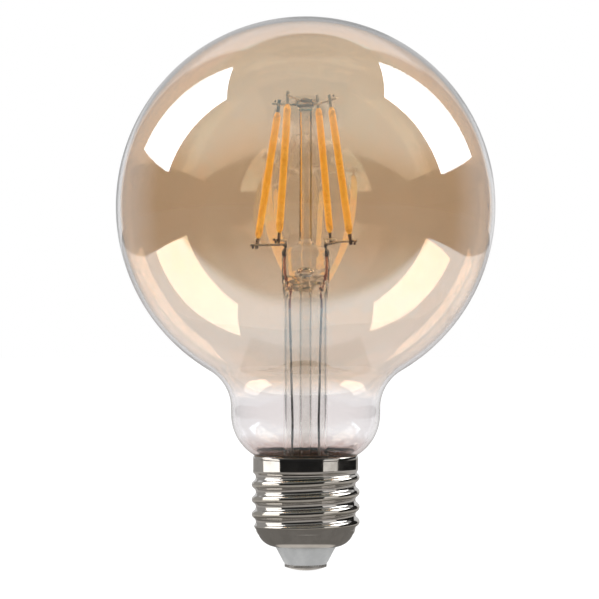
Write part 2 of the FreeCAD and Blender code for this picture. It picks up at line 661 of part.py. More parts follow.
def strips():
    """Four light strips, each a coated rod with tapered ends between two flat metal tabs."""
    for number in (1, 2, 3, 4):
        foot, tip, outward, sideways, along = strip_frame(number)
        turn = FreeCAD.Rotation(sideways.cross(along), sideways, along, "ZXY")
        strip = turned(
            "Strip%d" % number,
            [
                (None, None),
                ("strip_end_radius", None, "strip_taper_curve", -1),
                ("strip_radius", "strip_taper"),
                ("strip_radius", "strip_tip_taper", "strip_taper_curve", -1),
                ("strip_end_radius", "strip_length"),
                (None, "strip_length"),
            ],
        )
        strip.Placement = FreeCAD.Placement(foot, turn)
        piece(strip, "filament_%d" % number)
        corner = Vector(-value("tab_width") / 2, -value("tab_thickness") / 2, 0)
        for end, size, start in (
            ("bottom", "tab_foot_length", foot - along * value("tab_foot_length")),
            ("top", "tab_tip_length", tip),
        ):
            tab = doc.addObject("Part::Box", "Tab%d%s" % (number, end.title()))
            bind(tab, Length="Sizes.tab_width", Width="Sizes.tab_thickness", Height="Sizes." + size)
            tab.Placement = FreeCAD.Placement(start + turn.multVec(corner), turn)
            piece(tab, "filament_%d_%s_tab" % (number, end))


def leads():
    """The leads above the press, the seal wires in it and the outer leads down to the board."""
    radius, bend = value("wire_radius"), value("wire_bend")
    for name, path in lead_paths().items():
        piece(formed(name, bent(path, radius, bend)), name)
    for side, path in seal_wire_paths().items():
        piece(formed("seal_wire_" + side, bent(path, radius, bend)), "seal_wire_" + side)
        way = -1 if side == "left" else 1
        corners = [
            ("lead_joint_spread", value("lead_joint_height") - value("weld_gap")),
            ("lead_waist_spread", value("lead_waist_height")),
            ("lead_foot_spread", value("board_lead_foot")),
        ]
        points = [Vector(way * value(across), 0, height) for across, height in corners]
        outer = formed("outer_lead_" + side, bent(points, radius, value("lead_sway")))
        piece(outer, "outer_lead_" + side)


def shell_stations():
    """Places along the shell's outside before it is threaded, from its hole to its rim.

    Each is a radius, a height and the slope of the way that the sheet faces, from straight down to
    level, and they lie about as far apart as the places where the thread's wave is worked out.
    """
    spacing = value("thread_pitch") / POINTS_A_TURN
    reach, top, round_off = value("bowl_reach"), value("bowl_top"), value("bowl_radius")
    skirt = value("skirt_height")

    def shares(length):
        count = math.ceil(length / spacing)
        return [i / count for i in range(count)]

    hole = value("shell_hole_radius")
    foot = value("bowl_height")
    stations = [(hole + (reach - hole) * share, foot, -90) for share in shares(reach - hole)]
    for share in shares(round_off * math.pi / 2):
        slope = 90 * (share - 1)
        lean = math.radians(slope)
        stations.append((reach + round_off * math.cos(lean), top + round_off * math.sin(lean), slope))
    side, rim = value("thread_minor_radius"), value("rim_height")
    stations += [(side, top + (skirt - top) * share, 0) for share in shares(skirt - top)]
    stations += [(side, skirt + (rim - skirt) * share, 0) for share in shares(rim - skirt)]
    return [*stations, (side, rim, 0)]


def thread_swell(angle, height):
    """How far the wall is rolled out beyond the thread's root, at an angle and a height.

    The thread is a wave that winds up the wall and fades out over its first and last stretch. At its
    top the wall also steps out to the plain skirt.
    """

    def smooth(share):
        share = min(max(share, 0), 1)
        return share * share * (3 - 2 * share)

    foot, top, fade = value("bowl_top"), value("skirt_height"), value("thread_fade")
    root = value("thread_minor_radius")
    phase = (height - value("thread_crest_height")) / value("thread_pitch") - angle / (2 * math.pi)
    wave = (0.5 + 0.5 * math.cos(2 * math.pi * phase)) ** value("thread_crest_power")
    present = smooth((height - foot) / fade) * smooth((top - height) / fade)
    step = smooth((height - top) / value("skirt_step") + 1)
    return (value("thread_major_radius") - root) * wave * present + (value("skirt_radius") - root) * step


def rolled_face(inset):
    """One side of the shell's sheet, at a depth below its outside."""
    rows = []
    for index in range(POINTS_AROUND + 1):
        # The seam of the face lies at the back
        angle = math.pi / 2 + 2 * math.pi * index / POINTS_AROUND
        row = []
        for radius, height, slope in shell_stations():
            lean = math.radians(slope)
            out = radius + thread_swell(angle, height) - inset * math.cos(lean)
            up = height - inset * math.sin(lean)
            row.append(Vector(out * math.cos(angle), out * math.sin(angle), up))
        rows.append(row)
    surface = Part.BSplineSurface()
    surface.interpolate(rows)
    return surface.toShape()


def screw_shell():
    """Rolled from one sheet: foot with its hole, bowl, thread, plain skirt and rim."""

    def end_circles(face):
        closed = [edge for edge in face.Edges if edge.isClosed()]
        return sorted(closed, key=lambda edge: edge.BoundBox.ZMin)

    outside, inside = rolled_face(0), rolled_face(value("shell_wall"))
    ends = zip(end_circles(outside), end_circles(inside))
    cut_faces = [Part.makeRuledSurface(outer, inner) for outer, inner in ends]
    shell = Part.Solid(Part.Shell([outside, inside, *cut_faces]))
    shell.fix(SEAM, SEAM, SEAM)
    piece(formed("ScrewShell", shell), "screw_shell")


def cap_parts():
    """What closes the shell: cement round the neck, the insulator, and the contact riveted into it."""
    cement = turned(
        "CappingCement",
        [
            ("cement_bore", "cement_foot"),
            ("cement_radius", "cement_foot"),
            ("cement_radius", "cement_top"),
            ("cement_top_bore", "cement_top", "cement_hollow_radius", -1),
            ("cement_bore", "neck_hollow_height"),
        ],
    )
    piece(cement, "capping_cement")
    insulator = turned(
        "Insulator",
        [
            ("insulator_bore", "insulator_foot_height"),
            ("insulator_foot_radius", "insulator_foot_height"),
            ("insulator_cone_radius", "insulator_cone_height"),
            ("insulator_edge_radius", "insulator_edge_height"),
            ("bowl_reach", "insulator_seat_height"),
            ("insulator_plug_radius", "insulator_seat_height"),
            ("insulator_plug_radius", "insulator_top_height"),
            ("insulator_bore", "insulator_top_height"),
        ],
    )
    piece(insulator, "cap_insulator")
    contact = turned(
        "CentreContact",
        [
            (None, None),
            ("contact_flat_radius", None, "contact_dome_radius", -1),
            ("contact_radius", "contact_edge_height"),
            ("contact_radius", "insulator_foot_height"),
            ("contact_stem_radius", "insulator_foot_height"),
            ("contact_stem_radius", "contact_stem_height"),
            ("contact_bore", "contact_stem_height"),
            ("contact_bore", "contact_bore_foot"),
            (None, "contact_bore_foot"),
        ],
    )
    piece(contact, "centre_contact")


def driver():
    """The round driver board, the parts soldered to both of its faces, and its wire to the shell."""
    disc = rod("BoardDisc", "Sizes.board_radius", "Sizes.board_thickness", z="Sizes.board_height")
    holes = [
        rod(
            "BoardHole" + label,
            radius,
            "3 * Sizes.board_thickness",
            x=x,
            y=y,
            z="Sizes.board_height - Sizes.board_thickness",
        )
        for label, radius, x, y in (
            ("Left", "Fits.board_lead_hole", "-Sizes.lead_foot_spread", "0"),
            ("Right", "Fits.board_lead_hole", "Sizes.lead_foot_spread", "0"),
            ("Fuse", "Fits.board_fuse_hole", "0", "0"),
            ("Neutral", "Fits.board_neutral_hole", "0", "Sizes.neutral_offset"),
        )
    ]
    piece(cut("DriverBoard", disc, fused("BoardHoles", holes)), "driver_board")

    fuse = turned(
        "FuseResistor",
        [
            (None, "fuse_lead_foot"),
            ("fuse_lead_radius", "fuse_lead_foot"),
            ("fuse_lead_radius", "fuse_foot_height"),
            ("fuse_waist_radius", "fuse_foot_height", "fuse_bead_curve", -1),
            ("fuse_waist_radius", "fuse_low_bead"),
            ("fuse_waist_radius", "fuse_high_bead", "fuse_bead_curve", -1),
            ("fuse_waist_radius", "fuse_top"),
            ("fuse_lead_radius", "fuse_top"),
            ("fuse_lead_radius", "fuse_lead_top"),
            (None, "fuse_lead_top"),
        ],
    )
    piece(fuse, "fuse_resistor")

    can = turned(
        "SmoothingCapacitor",
        [
            (None, None),
            ("capacitor_radius", None),
            ("capacitor_radius", "capacitor_crimp_foot", "capacitor_crimp_curve", 1),
            ("capacitor_radius", "capacitor_crimp_top"),
            ("capacitor_radius", "capacitor_length"),
            (None, "capacitor_length"),
        ],
    )
    bind(can, Placement__Base__y="-Sizes.capacitor_offset", Placement__Base__z="Fits.capacitor_foot")
    piece(can, "smoothing_capacitor")

    for label, part, side, offset in (
        ("bridge_rectifier", "rectifier", "-", "Sizes.rectifier_offset"),
        ("driver_chip", "chip", "", "Sizes.chip_offset"),
    ):
        case = block(
            label.title().replace("_", ""),
            "Sizes.%s_length" % part,
            "Sizes.%s_width" % part,
            "Sizes.%s_thickness" % part,
            "0",
            side + offset,
            "Fits.board_top",
        )
        piece(case, label)
    for label, side in (("chip_resistor_1", "-"), ("chip_resistor_2", "")):
        resistor = block(
            label.title().replace("_", ""),
            "Sizes.resistor_width",
            "Sizes.resistor_length",
            "Sizes.resistor_thickness",
            side + "Sizes.resistor_offset",
            "0",
            "Fits.board_top",
        )
        piece(resistor, label)

    wall = value("thread_minor_radius") - value("shell_wall") - value("weld_gap") - value("neutral_radius")
    offset = value("neutral_offset")
    points = [
        Vector(0, offset, value("board_lead_foot")),
        Vector(0, offset, value("neutral_bend_height")),
        Vector(0, wall, value("neutral_wall_height")),
        Vector(0, wall, value("neutral_top_height")),
    ]
    neutral = formed("NeutralWire", bent(points, value("neutral_radius"), 4 * value("neutral_radius")))
    piece(neutral, "neutral_wire")


glass_globe()
stem()
rod_and_supports()
strips()
leads()
screw_shell()
cap_parts()
driver()
doc.recompute()

for part in doc.Objects:
    if "Invalid" in part.State or "Error" in part.State:
        raise RuntimeError("%s failed: %s" % (part.Name, part.State))
for part in pieces:
    shape = part.Shape
    if shape.isNull() or not shape.isValid() or not shape.Solids:
        raise RuntimeError(part.Label + " has no valid solid")

os.makedirs("parts", exist_ok=True)
for part in pieces:
    part.Shape.exportStep("parts/%s.step" % part.Label)
    print("%-24s %9.2f mm3" % (part.Label, part.Shape.Volume))
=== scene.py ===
# %% [markdown]
# # A globe bulb with light strips
# The bulb stands cap down on a white table. Its shapes come from a CAD model: the blown globe, the glass
# stem, the four light strips and the rolled screw cap. Here each of them gets its finish. The pieces
# whose glass or mirror shows more than the CAD holds are built finer, the small welds are added, and a
# studio of soft light is set up round the bulb.

# %% Load the bulb
import math

import bmesh
import bpy
from mathutils import Matrix, Vector, kdtree, noise


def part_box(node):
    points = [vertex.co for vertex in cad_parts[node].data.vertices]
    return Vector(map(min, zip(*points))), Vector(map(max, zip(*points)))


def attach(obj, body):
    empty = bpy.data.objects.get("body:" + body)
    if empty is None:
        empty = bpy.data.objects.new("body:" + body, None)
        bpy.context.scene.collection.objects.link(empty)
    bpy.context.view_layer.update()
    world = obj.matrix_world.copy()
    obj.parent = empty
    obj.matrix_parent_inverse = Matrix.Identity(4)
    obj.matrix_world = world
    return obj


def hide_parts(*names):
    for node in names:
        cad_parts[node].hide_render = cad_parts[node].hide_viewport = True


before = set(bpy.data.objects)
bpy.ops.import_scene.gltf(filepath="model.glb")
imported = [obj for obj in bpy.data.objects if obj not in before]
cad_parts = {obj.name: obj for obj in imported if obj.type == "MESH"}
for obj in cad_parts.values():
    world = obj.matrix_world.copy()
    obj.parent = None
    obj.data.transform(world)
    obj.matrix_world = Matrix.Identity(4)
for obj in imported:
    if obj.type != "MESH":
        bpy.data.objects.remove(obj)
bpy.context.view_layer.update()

# %% [markdown]
# The photo was taken from half a metre away, a little above the table and almost level, with the bulb
# filling the height of a square picture. A long lens that far back keeps the globe round. The camera
# comes first, so that everything else can be judged through it.

# %% Camera
MM = 0.001
photo_camera = bpy.data.cameras.new("photo_camera")
photo_camera.sensor_width = 36
photo_camera.lens = 127.35
photo_camera.clip_start = 0.01
camera = bpy.data.objects.new("photo_camera", photo_camera)
camera.location = (-1.5 * MM, -520 * MM, 57 * MM)
looks_at = Vector((-1.5 * MM, 0, 66.1 * MM))
camera.rotation_euler = (looks_at - camera.location).to_track_quat("-Z", "Y").to_euler()
bpy.context.scene.collection.objects.link(camera)
bpy.context.scene.camera = camera
print(f"the lens covers {520 * 36 / photo_camera.lens:.0f} mm at the bulb")

# %% [markdown]
# A material is a graph of nodes. Small helpers keep the graphs short: one adds a node and joins what
# feeds it, three do sums, one fades from 0 to 1 between two values and one mixes two colours. Most
# patterns below are a value that fades in along the bulb, such as the height at which the amber begins.

# %% Node helpers
def put(tree, kind, inputs=None, **properties):
    """Adds a node. An input is given a plain value or another node's output."""
    new = tree.nodes.new(kind)
    for name, value in properties.items():
        setattr(new, name, value)
    for name, value in (inputs or {}).items():
        if isinstance(value, bpy.types.NodeSocket):
            tree.links.new(value, new.inputs[name])
        else:
            new.inputs[name].default_value = value
    return new


def maths(tree, operation, first, second=0.0, third=0.0):
    values = {0: first, 1: second, 2: third} if operation == "MULTIPLY_ADD" else {0: first, 1: second}
    return put(tree, "ShaderNodeMath", values, operation=operation).outputs[0]


def times(tree, first, *others):
    for other in others:
        first = maths(tree, "MULTIPLY", first, other)
    return first


def rest_of(tree, value):
    """What is left of 1."""
    return maths(tree, "MULTIPLY_ADD", value, -1.0, 1.0)


def fade(tree, value, start, end):
    """0 where value is at start, 1 where it is at end, and smooth between."""
    values = {"Value": value, "From Min": min(start, end), "From Max": max(start, end)}
    values.update({"To Min": 0.0, "To Max": 1.0} if start < end else {"To Min": 1.0, "To Max": 0.0})
    return put(tree, "ShaderNodeMapRange", values, interpolation_type="SMOOTHSTEP").outputs[0]


def mixed(tree, share, first, second):
    first, second = [(*c, 1) if isinstance(c, tuple) and len(c) == 3 else c for c in (first, second)]
    return put(tree, "ShaderNodeMix", {0: share, 6: first, 7: second}, data_type="RGBA").outputs[2]


# %% [markdown]
# Nearly every surface needs the same thing: an uneven pattern of a given size, a roughness that wanders
# between two values with it, and a height for a bump. That is made once, as a node group with named
# sockets, and each material puts in its own numbers. A stretched pattern gives the lines of drawn wire
# and rolled sheet, so the group takes its vector already scaled.

# %% Surface grain group
def new_group(name, inputs, outputs):
    group = bpy.data.node_groups.new(name, "ShaderNodeTree")
    for label, kind, value in inputs:
        socket = group.interface.new_socket(name=label, in_out="INPUT", socket_type="NodeSocket" + kind)
        if value is not None:
            socket.default_value = value
    for label, kind in outputs:
        group.interface.new_socket(name=label, in_out="OUTPUT", socket_type="NodeSocket" + kind)
    return group, group.nodes.new("NodeGroupInput"), group.nodes.new("NodeGroupOutput")


grain, grain_in, grain_out = new_group(
    "surface_grain",
    [("Vector", "Vector", None), ("Patches", "Float", 100.0), ("Smoothest", "Float", 0.2),
     ("Roughest", "Float", 0.4)],
    [("Mask", "Float"), ("Roughness", "Float"), ("Height", "Float")],
)
broad = put(grain, "ShaderNodeTexNoise", {"Vector": grain_in.outputs["Vector"],
            "Scale": grain_in.outputs["Patches"], "Detail": 4.0, "Roughness": 0.55})
fine = put(grain, "ShaderNodeTexNoise", {"Vector": grain_in.outputs["Vector"],
           "Scale": maths(grain, "MULTIPLY", grain_in.outputs["Patches"], 5.0), "Detail": 3.0})
grain_mask = fade(grain, broad.outputs["Fac"], 0.35, 0.65)
spread = maths(grain, "SUBTRACT", grain_in.outputs["Roughest"], grain_in.outputs["Smoothest"])
grain.links.new(grain_mask, grain_out.inputs["Mask"])
grain.links.new(maths(grain, "MULTIPLY_ADD", grain_mask, spread, grain_in.outputs["Smoothest"]),
                grain_out.inputs["Roughness"])
grain.links.new(maths(grain, "MULTIPLY_ADD", fine.outputs["Fac"], 0.3, broad.outputs["Fac"]),
                grain_out.inputs["Height"])
print("surface_grain has", len(grain.nodes), "nodes")

# %% [markdown]
# Each finish starts from the Principled shader and the object coordinates, which are metres in the
# bulb's own frame: Z is the height above the contact. A scaled copy of them stretches a pattern.

# %% Starting a finish
class Finish:
    """A material with its shader, its coordinates in metres, and the height and radius on the bulb."""

    def __init__(self, name, **sockets):
        self.material = bpy.data.materials.new(name)
        self.material.use_nodes = True
        self.tree = self.material.node_tree
        self.shader = self.tree.nodes["Principled BSDF"]
        self.surface = self.tree.nodes["Material Output"].inputs["Surface"]
        self.place = put(self.tree, "ShaderNodeTexCoord").outputs["Object"]
        parts = put(self.tree, "ShaderNodeSeparateXYZ", {0: self.place})
        self.x, self.y, self.z = parts.outputs
        self.radius = maths(self.tree, "SQRT", maths(
            self.tree, "MULTIPLY_ADD", self.x, self.x, times(self.tree, self.y, self.y)))
        for socket, value in sockets.items():
            self.set(socket.replace("_", " "), value)

    def set(self, socket, value):
        target = self.shader.inputs[socket]
        if isinstance(value, bpy.types.NodeSocket):
            self.tree.links.new(value, target)
        else:
            target.default_value = (*value, 1) if target.type == "RGBA" else value

    def stretched(self, x, y, z):
        return put(self.tree, "ShaderNodeMapping", {"Vector": self.place, "Scale": (x, y, z)}).outputs[0]

    def grained(self, patches, smoothest, roughest, bump=0.0, depth=0.05 * MM, vector=None):
        """Wanders the roughness, adds a bump, and gives the mask for colours."""
        used = put(self.tree, "ShaderNodeGroup", node_tree=grain)
        self.tree.links.new(vector or self.place, used.inputs["Vector"])
        for socket, value in (("Patches", patches), ("Smoothest", smoothest), ("Roughest", roughest)):
            used.inputs[socket].default_value = value
        self.set("Roughness", used.outputs["Roughness"])
        if bump:
            self.set("Normal", put(self.tree, "ShaderNodeBump", {
                "Height": used.outputs["Height"], "Strength": bump, "Distance": depth}).outputs[0])
        return used.outputs["Mask"]

    def lets_lamps_through(self, tint):
        """Glass that the lamps shine through, so that what is inside is lit."""
        ray = put(self.tree, "ShaderNodeLightPath")
        clear = put(self.tree, "ShaderNodeBsdfTransparent", {"Color": (*tint, 1)})
        both = put(self.tree, "ShaderNodeMixShader", {0: ray.outputs["Is Shadow Ray"],
                   1: self.shader.outputs[0], 2: clear.outputs[0]})
        self.tree.links.new(both.outputs[0], self.surface)

    def on(self, *names):
        for name in names:
            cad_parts[name].material_slots[0].material = self.material
        print(f"{self.material.name} is on {', '.join(names)}")


# %% [markdown]
# Four kinds of piece are built here instead of being taken from the CAD model: the blown globe, the
# pressed stem, the screw shell and the small weld beads. Two helpers serve them all. One spins a section
# once round the bulb's axis, and the other closes the seams, turns the normals outwards and hands the
# piece over.

# %% Building helpers
def spun(mesh, section, steps, closed=False, hollow=False):
    """Spins points of radius and height, in mm, round the axis. A hollow is a void inside a solid."""
    line = [mesh.verts.new((r * MM, 0, z * MM)) for r, z in section]
    pairs = zip(line, line[1:] + line[:1] * closed)
    before = len(mesh.faces)
    bmesh.ops.spin(mesh, geom=line + [mesh.edges.new(pair) for pair in pairs], cent=(0, 0, 0),
                   axis=(0, 0, 1), angle=math.tau, steps=steps, use_merge=True)
    mesh.faces.ensure_lookup_table()
    for face in mesh.faces[before:]:
        face.material_index = int(hollow)
    mesh.verts.ensure_lookup_table()


def softened(points, rounds=3):
    """Rounds the corners of a section by cutting them off again and again. Its ends stay."""
    for _ in range(rounds):
        cut = [points[0]]
        for (r, z), (r_next, z_next) in zip(points, points[1:]):
            cut += [(0.75 * r + 0.25 * r_next, 0.75 * z + 0.25 * z_next),
                    (0.25 * r + 0.75 * r_next, 0.25 * z + 0.75 * z_next)]
        points = cut + [points[-1]]
    return points


def smooth(share):
    share = min(max(share, 0.0), 1.0)
    return share * share * (3 - 2 * share)


def new_piece(name, mesh, finish):
    """Turns a finished bmesh into a piece that belongs to the bulb."""
    bmesh.ops.remove_doubles(mesh, verts=mesh.verts, dist=1e-7)
    bmesh.ops.recalc_face_normals(mesh, faces=mesh.faces)
    bmesh.ops.reverse_faces(mesh, faces=[face for face in mesh.faces if face.material_index])
    for face in mesh.faces:
        face.smooth = True
        face.material_index = 0
    open_edges = sum(not edge.is_manifold for edge in mesh.edges)
    data = bpy.data.meshes.new(name)
    mesh.to_mesh(data)
    mesh.free()
    data.materials.append(finish.material)
    piece = bpy.data.objects.new(name, data)
    bpy.context.scene.collection.objects.link(piece)
    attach(piece, "root")
    print(f"{name}: {len(data.polygons)} faces, {open_edges} open edges")
    return piece


# %% [markdown]
# The globe is blown from clear glass and then given a thin amber metal film, which is why it both tints
# what is seen through it and mirrors the studio more strongly than bare glass. The film thins out down
# the globe and stops at the shoulder, so the neck is clear. It lies on the inside of the wall. The
# material finds that face by measuring: on the globe it is nearer to the middle, and at the shoulder it
# is farther from the middle of the hollow curve. First, where the film is and which face is the inner.

# %% Amber film
GLOBE_RADIUS = 46.5
GLOBE_WALL = 0.9
GLOBE_HEIGHT = 88.8
GLOBE_CENTRE = Vector((0, 0, GLOBE_HEIGHT * MM))
SHOULDER_RING, SHOULDER_HEIGHT, SHOULDER_RADIUS = 28.8, 39.553, 10.55
FILM_EDGE = (44, 51)
FILM_FULL = (56, 85)

amber = Finish("amber_glass", Transmission_Weight=1.0, IOR=1.5, Coat_IOR=3.5, Coat_Roughness=0.0,
               Specular_IOR_Level=1.0, Specular_Tint=(0.6, 0.85, 1.0))
film_noise = put(amber.tree, "ShaderNodeTexNoise", {"Vector": amber.place, "Scale": 60.0,
                 "Detail": 3.0}).outputs["Fac"]
film_height = maths(amber.tree, "MULTIPLY_ADD", film_noise, 5 * MM, amber.z)
film = maths(amber.tree, "MULTIPLY_ADD", fade(amber.tree, film_height, *(z * MM for z in FILM_EDGE)), 0.62,
             times(amber.tree, fade(amber.tree, film_height, *(z * MM for z in FILM_FULL)), 0.38))
from_centre = put(amber.tree, "ShaderNodeVectorMath", {0: amber.place, 1: GLOBE_CENTRE},
                  operation="DISTANCE").outputs["Value"]
on_section = put(amber.tree, "ShaderNodeCombineXYZ", {0: amber.radius, 2: amber.z}).outputs[0]
from_shoulder = put(amber.tree, "ShaderNodeVectorMath", {0: on_section, 1: (
    SHOULDER_RING * MM, 0, SHOULDER_HEIGHT * MM)}, operation="DISTANCE").outputs["Value"]
inner_face = put(amber.tree, "ShaderNodeMix", {0: fade(amber.tree, amber.z, 48.4 * MM, 49.0 * MM),
                 2: fade(amber.tree, from_shoulder, 10.9 * MM, 11.1 * MM),
                 3: fade(amber.tree, from_centre, 46.3 * MM, 46.1 * MM)}).outputs[0]
print(f"the film begins between {FILM_EDGE[0]} and {FILM_EDGE[1]} mm up")

# %% [markdown]
# The flame that sealed the neck has left an uneven brown band just above the cap, darkest at its lower
# edge. The tint is the base colour of the glass: the film's amber on the inner face only, so that the
# mirror image on the outside keeps the colour of the room, and the brown band over both faces.

# %% Tint and flame mark
flame_noise = put(amber.tree, "ShaderNodeTexNoise", {"Vector": amber.place, "Scale": 300.0,
                  "Detail": 4.0}).outputs["Fac"]
flame_height = maths(amber.tree, "MULTIPLY_ADD", flame_noise, 5 * MM, amber.z)
mottle = maths(amber.tree, "MULTIPLY_ADD", fade(amber.tree, flame_noise, 0.4, 0.6), 0.25, 0.30)
flame_mark = times(amber.tree, fade(amber.tree, flame_height, 35.5 * MM, 32.5 * MM), mottle)
scorch = times(amber.tree, fade(amber.tree, flame_height, 31.3 * MM, 30.5 * MM), 0.8)
tint = mixed(amber.tree, times(amber.tree, film, inner_face), (0.97, 0.955, 0.965), (0.99, 0.655, 0.37))
tint = mixed(amber.tree, flame_mark, tint, (0.52, 0.36, 0.31))
amber.set("Base Color", mixed(amber.tree, scorch, tint, (0.16, 0.08, 0.06)))
print("the flame mark ends about 33 mm up")

# %% [markdown]
# The film's mirror is a clear coat of a high index, strong on the inner face and faint on the outer. At
# the rim, light inside the wall meets the inner face at more than 41 degrees. There the glass mirrors
# all of it by itself, so the coat is taken away: Facing is 1 minus the cosine of that angle.

# %% Film mirror
STEEP = (0.235, 0.255)
mirror = times(amber.tree, film, maths(amber.tree, "MULTIPLY_ADD", inner_face, 0.82, 0.18))
facing = put(amber.tree, "ShaderNodeLayerWeight").outputs["Facing"]
inside_glass = put(amber.tree, "ShaderNodeNewGeometry").outputs["Backfacing"]
all_mirrored = times(amber.tree, inside_glass, fade(amber.tree, facing, *STEEP))
amber.set("Coat Weight", times(amber.tree, mirror, maths(amber.tree, "SUBTRACT", 1.0, all_mirrored)))
amber.grained(30.0, 0.0, 0.012, bump=0.02, depth=0.4 * MM)
amber.lets_lamps_through((0.95, 0.89, 0.80))
print(f"the coat ends at {math.degrees(math.acos(1 - STEEP[1])):.0f} degrees")

# %% [markdown]
# The CAD globe is a perfect sphere. A blown one is not: its wall is a little thicker in one place than in
# another, which bends the edges of what it mirrors. The section is the CAD one, four arcs that run into
# each other, with the inner face inside it. It is spun fine enough for a clean outline, then slow noise
# moves the inner face by up to a tenth of a millimetre. The outer face stays inside the CAD size.

# %% Blown globe
def arc(centre_r, centre_z, radius, start, end, count):
    turns = (math.radians(start + (end - start) * i / count) for i in range(count + 1))
    return [(centre_r + radius * math.cos(t), centre_z + radius * math.sin(t)) for t in turns]


def globe_face(inset):
    """One face of the wall from the sealed end to the top, as radius and height in mm."""
    sealed_end = [(11.4 - inset, 24.6)] + arc(12.9, 26.419, 1.5 + inset, 180, 119.03, 8)
    neck = arc(6.45, 38.05, 11.8 - inset, -61.0, 0, 18)
    shoulder = arc(SHOULDER_RING, SHOULDER_HEIGHT, SHOULDER_RADIUS + inset, 180, 120.3, 16)
    sphere = arc(0, GLOBE_HEIGHT, GLOBE_RADIUS - inset, -59.68, 90, 104)[1:-1]
    return sealed_end + neck + shoulder + sphere + [(0, GLOBE_HEIGHT + GLOBE_RADIUS - inset)]


mesh = bmesh.new()
spun(mesh, globe_face(GLOBE_WALL)[::-1] + globe_face(0.0), 250)
for vert in mesh.verts:
    inner = (vert.co - GLOBE_CENTRE).length < 46.1 * MM
    drift = noise.noise(vert.co / (17 * MM))
    amount = (0.05 + 0.05 * drift * inner) * smooth((vert.co.z / MM - 44) / 12)
    vert.co -= (vert.co - GLOBE_CENTRE).normalized() * amount * MM
globe = new_piece("blown_globe", mesh, amber)
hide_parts("glass_globe")

# %% [markdown]
# The stem is drawn tube whose top was softened and pinched flat round the wires. The pinch leaves the
# glass wavy and, where the wires are sealed in, cloudy and cream. Waves are a bump that is strong
# only above the height where the press begins.

# %% Stem glass
stem = Finish("stem_glass", Transmission_Weight=1.0, IOR=1.45)
press = fade(stem.tree, stem.z, 66 * MM, 70 * MM)
waves = put(stem.tree, "ShaderNodeTexNoise", {"Vector": stem.stretched(1.0, 1.0, 0.45),
            "Scale": 420.0, "Detail": 2.0, "Distortion": 0.6}).outputs["Fac"]
cloud = times(stem.tree, press, fade(stem.tree, waves, 0.42, 0.66))
stem.set("Base Color", mixed(stem.tree, cloud, (0.995, 0.99, 0.98), (0.94, 0.87, 0.74)))
stem.grained(120.0, 0.0, 0.03)
stem.set("Normal", put(stem.tree, "ShaderNodeBump", {"Height": waves, "Distance": 0.3 * MM,
         "Strength": maths(stem.tree, "MULTIPLY_ADD", press, 0.25, 0.02)}).outputs[0])
stem.lets_lamps_through((0.97, 0.96, 0.94))
print("the glass turns cloudy between 66 and 70 mm up")

# %% [markdown]
# The whole stem is one piece of glass in the end: tube, flare, exhaust tube and rod are softened in a
# flame and pressed together. So it is built as one skin: down the outside from the button to the flare,
# and back up inside the tube and down the exhaust tube. It is spun round first, then squeezed flat where
# the jaws held it, which closes the hollow to a thin wedge. A little noise there gives the waves that
# the jaws leave. The bore with its blow hole is a hollow in that glass.

# %% Section of the stem
TUBE_OUTSIDE, TUBE_INSIDE = 5.4, 4.75
ROD_RADIUS = 1.52
EXHAUST_OUTSIDE, EXHAUST_BORE = 1.53, 1.1
FLARE_RING, FLARE_HEIGHT = 10.0, 29.15


def flare_curve(radius, order):
    turns = (math.pi / 2 * i / 8 for i in order)
    return [(FLARE_RING - radius * math.cos(t), FLARE_HEIGHT - radius * math.sin(t)) for t in turns]


button = [(0, 115.75), (1.2, 115.7), (2.2, 115.5), (2.5, 115.0), (2.45, 114.2), (2.1, 113.5),
          (1.65, 112.9)]
rod = [(ROD_RADIUS, z) for z in (112.2, 100.0, 81.2)]
rod_foot = [(1.58, 80.7), (1.8, 80.1), (2.3, 79.5), (3.3, 79.1), (4.5, 78.85), (5.15, 78.5),
            (TUBE_OUTSIDE, 77.8)]
tube = [(TUBE_OUTSIDE, 77.2 - 0.6 * i) for i in range(21)] + [(TUBE_OUTSIDE, z) for z in (62.0, 31.0)]
flare = flare_curve(4.6, range(9)) + [(11.3, 24.55), (11.4, 24.4), (11.35, 23.95)]
flare += flare_curve(5.25, range(8, -1, -1))
inside = [(TUBE_INSIDE, z) for z in (31.0, 62.0)] + [(TUBE_INSIDE, 65.0 + 0.6 * i) for i in range(7)]
inside += [(4.7, 69.4), (4.6, 70.2), (4.5, 71.0), (4.3, 71.7), (3.8, 72.0), (3.2, 71.6), (2.6, 70.8),
           (2.0, 69.9), (1.65, 69.0)]
inside += [(EXHAUST_OUTSIDE, z) for z in (68.2, 67.4, 66.6, 65.8, 62.0, 22.0)]
inside += [(1.4, 20.6), (0.8, 19.7), (0, 19.5)]
stem_skin = button + rod + rod_foot + tube + flare + inside
bore = [(0, 21.2), (0.8, 21.3), (EXHAUST_BORE, 21.9), (EXHAUST_BORE, 62.0)]
bore += [(EXHAUST_BORE, 65.0 + 0.6 * i) for i in range(8)] + [(1.0, 69.8), (0.95, 70.4), (1.0, 71.0)]
blow_hole = [(1.3, 71.6), (1.85, 72.1), (2.1, 72.6), (2.1, 73.1), (1.8, 73.6), (1.1, 74.0), (0, 74.1)]
print(f"{len(stem_skin)} points for the skin, {len(bore + blow_hole)} for the bore")

# %% [markdown]
# The jaws are a value that rises over a few millimetres of height, once for the outside of the glass and
# once for the hollow in it. Squeezed glass widens a little as it gets flatter, and its section turns from
# a circle into a rounded oblong.

# %% Pressed stem
def jaws(z):
    """How far the jaws flattened the outside and the inside at a height in mm, from 0 to 1."""
    outside = smooth((z - 65.5) / 6.5) * (1 - smooth((z - 78.6) / 1.6))
    return outside, smooth((z - 66.0) / 6.3)


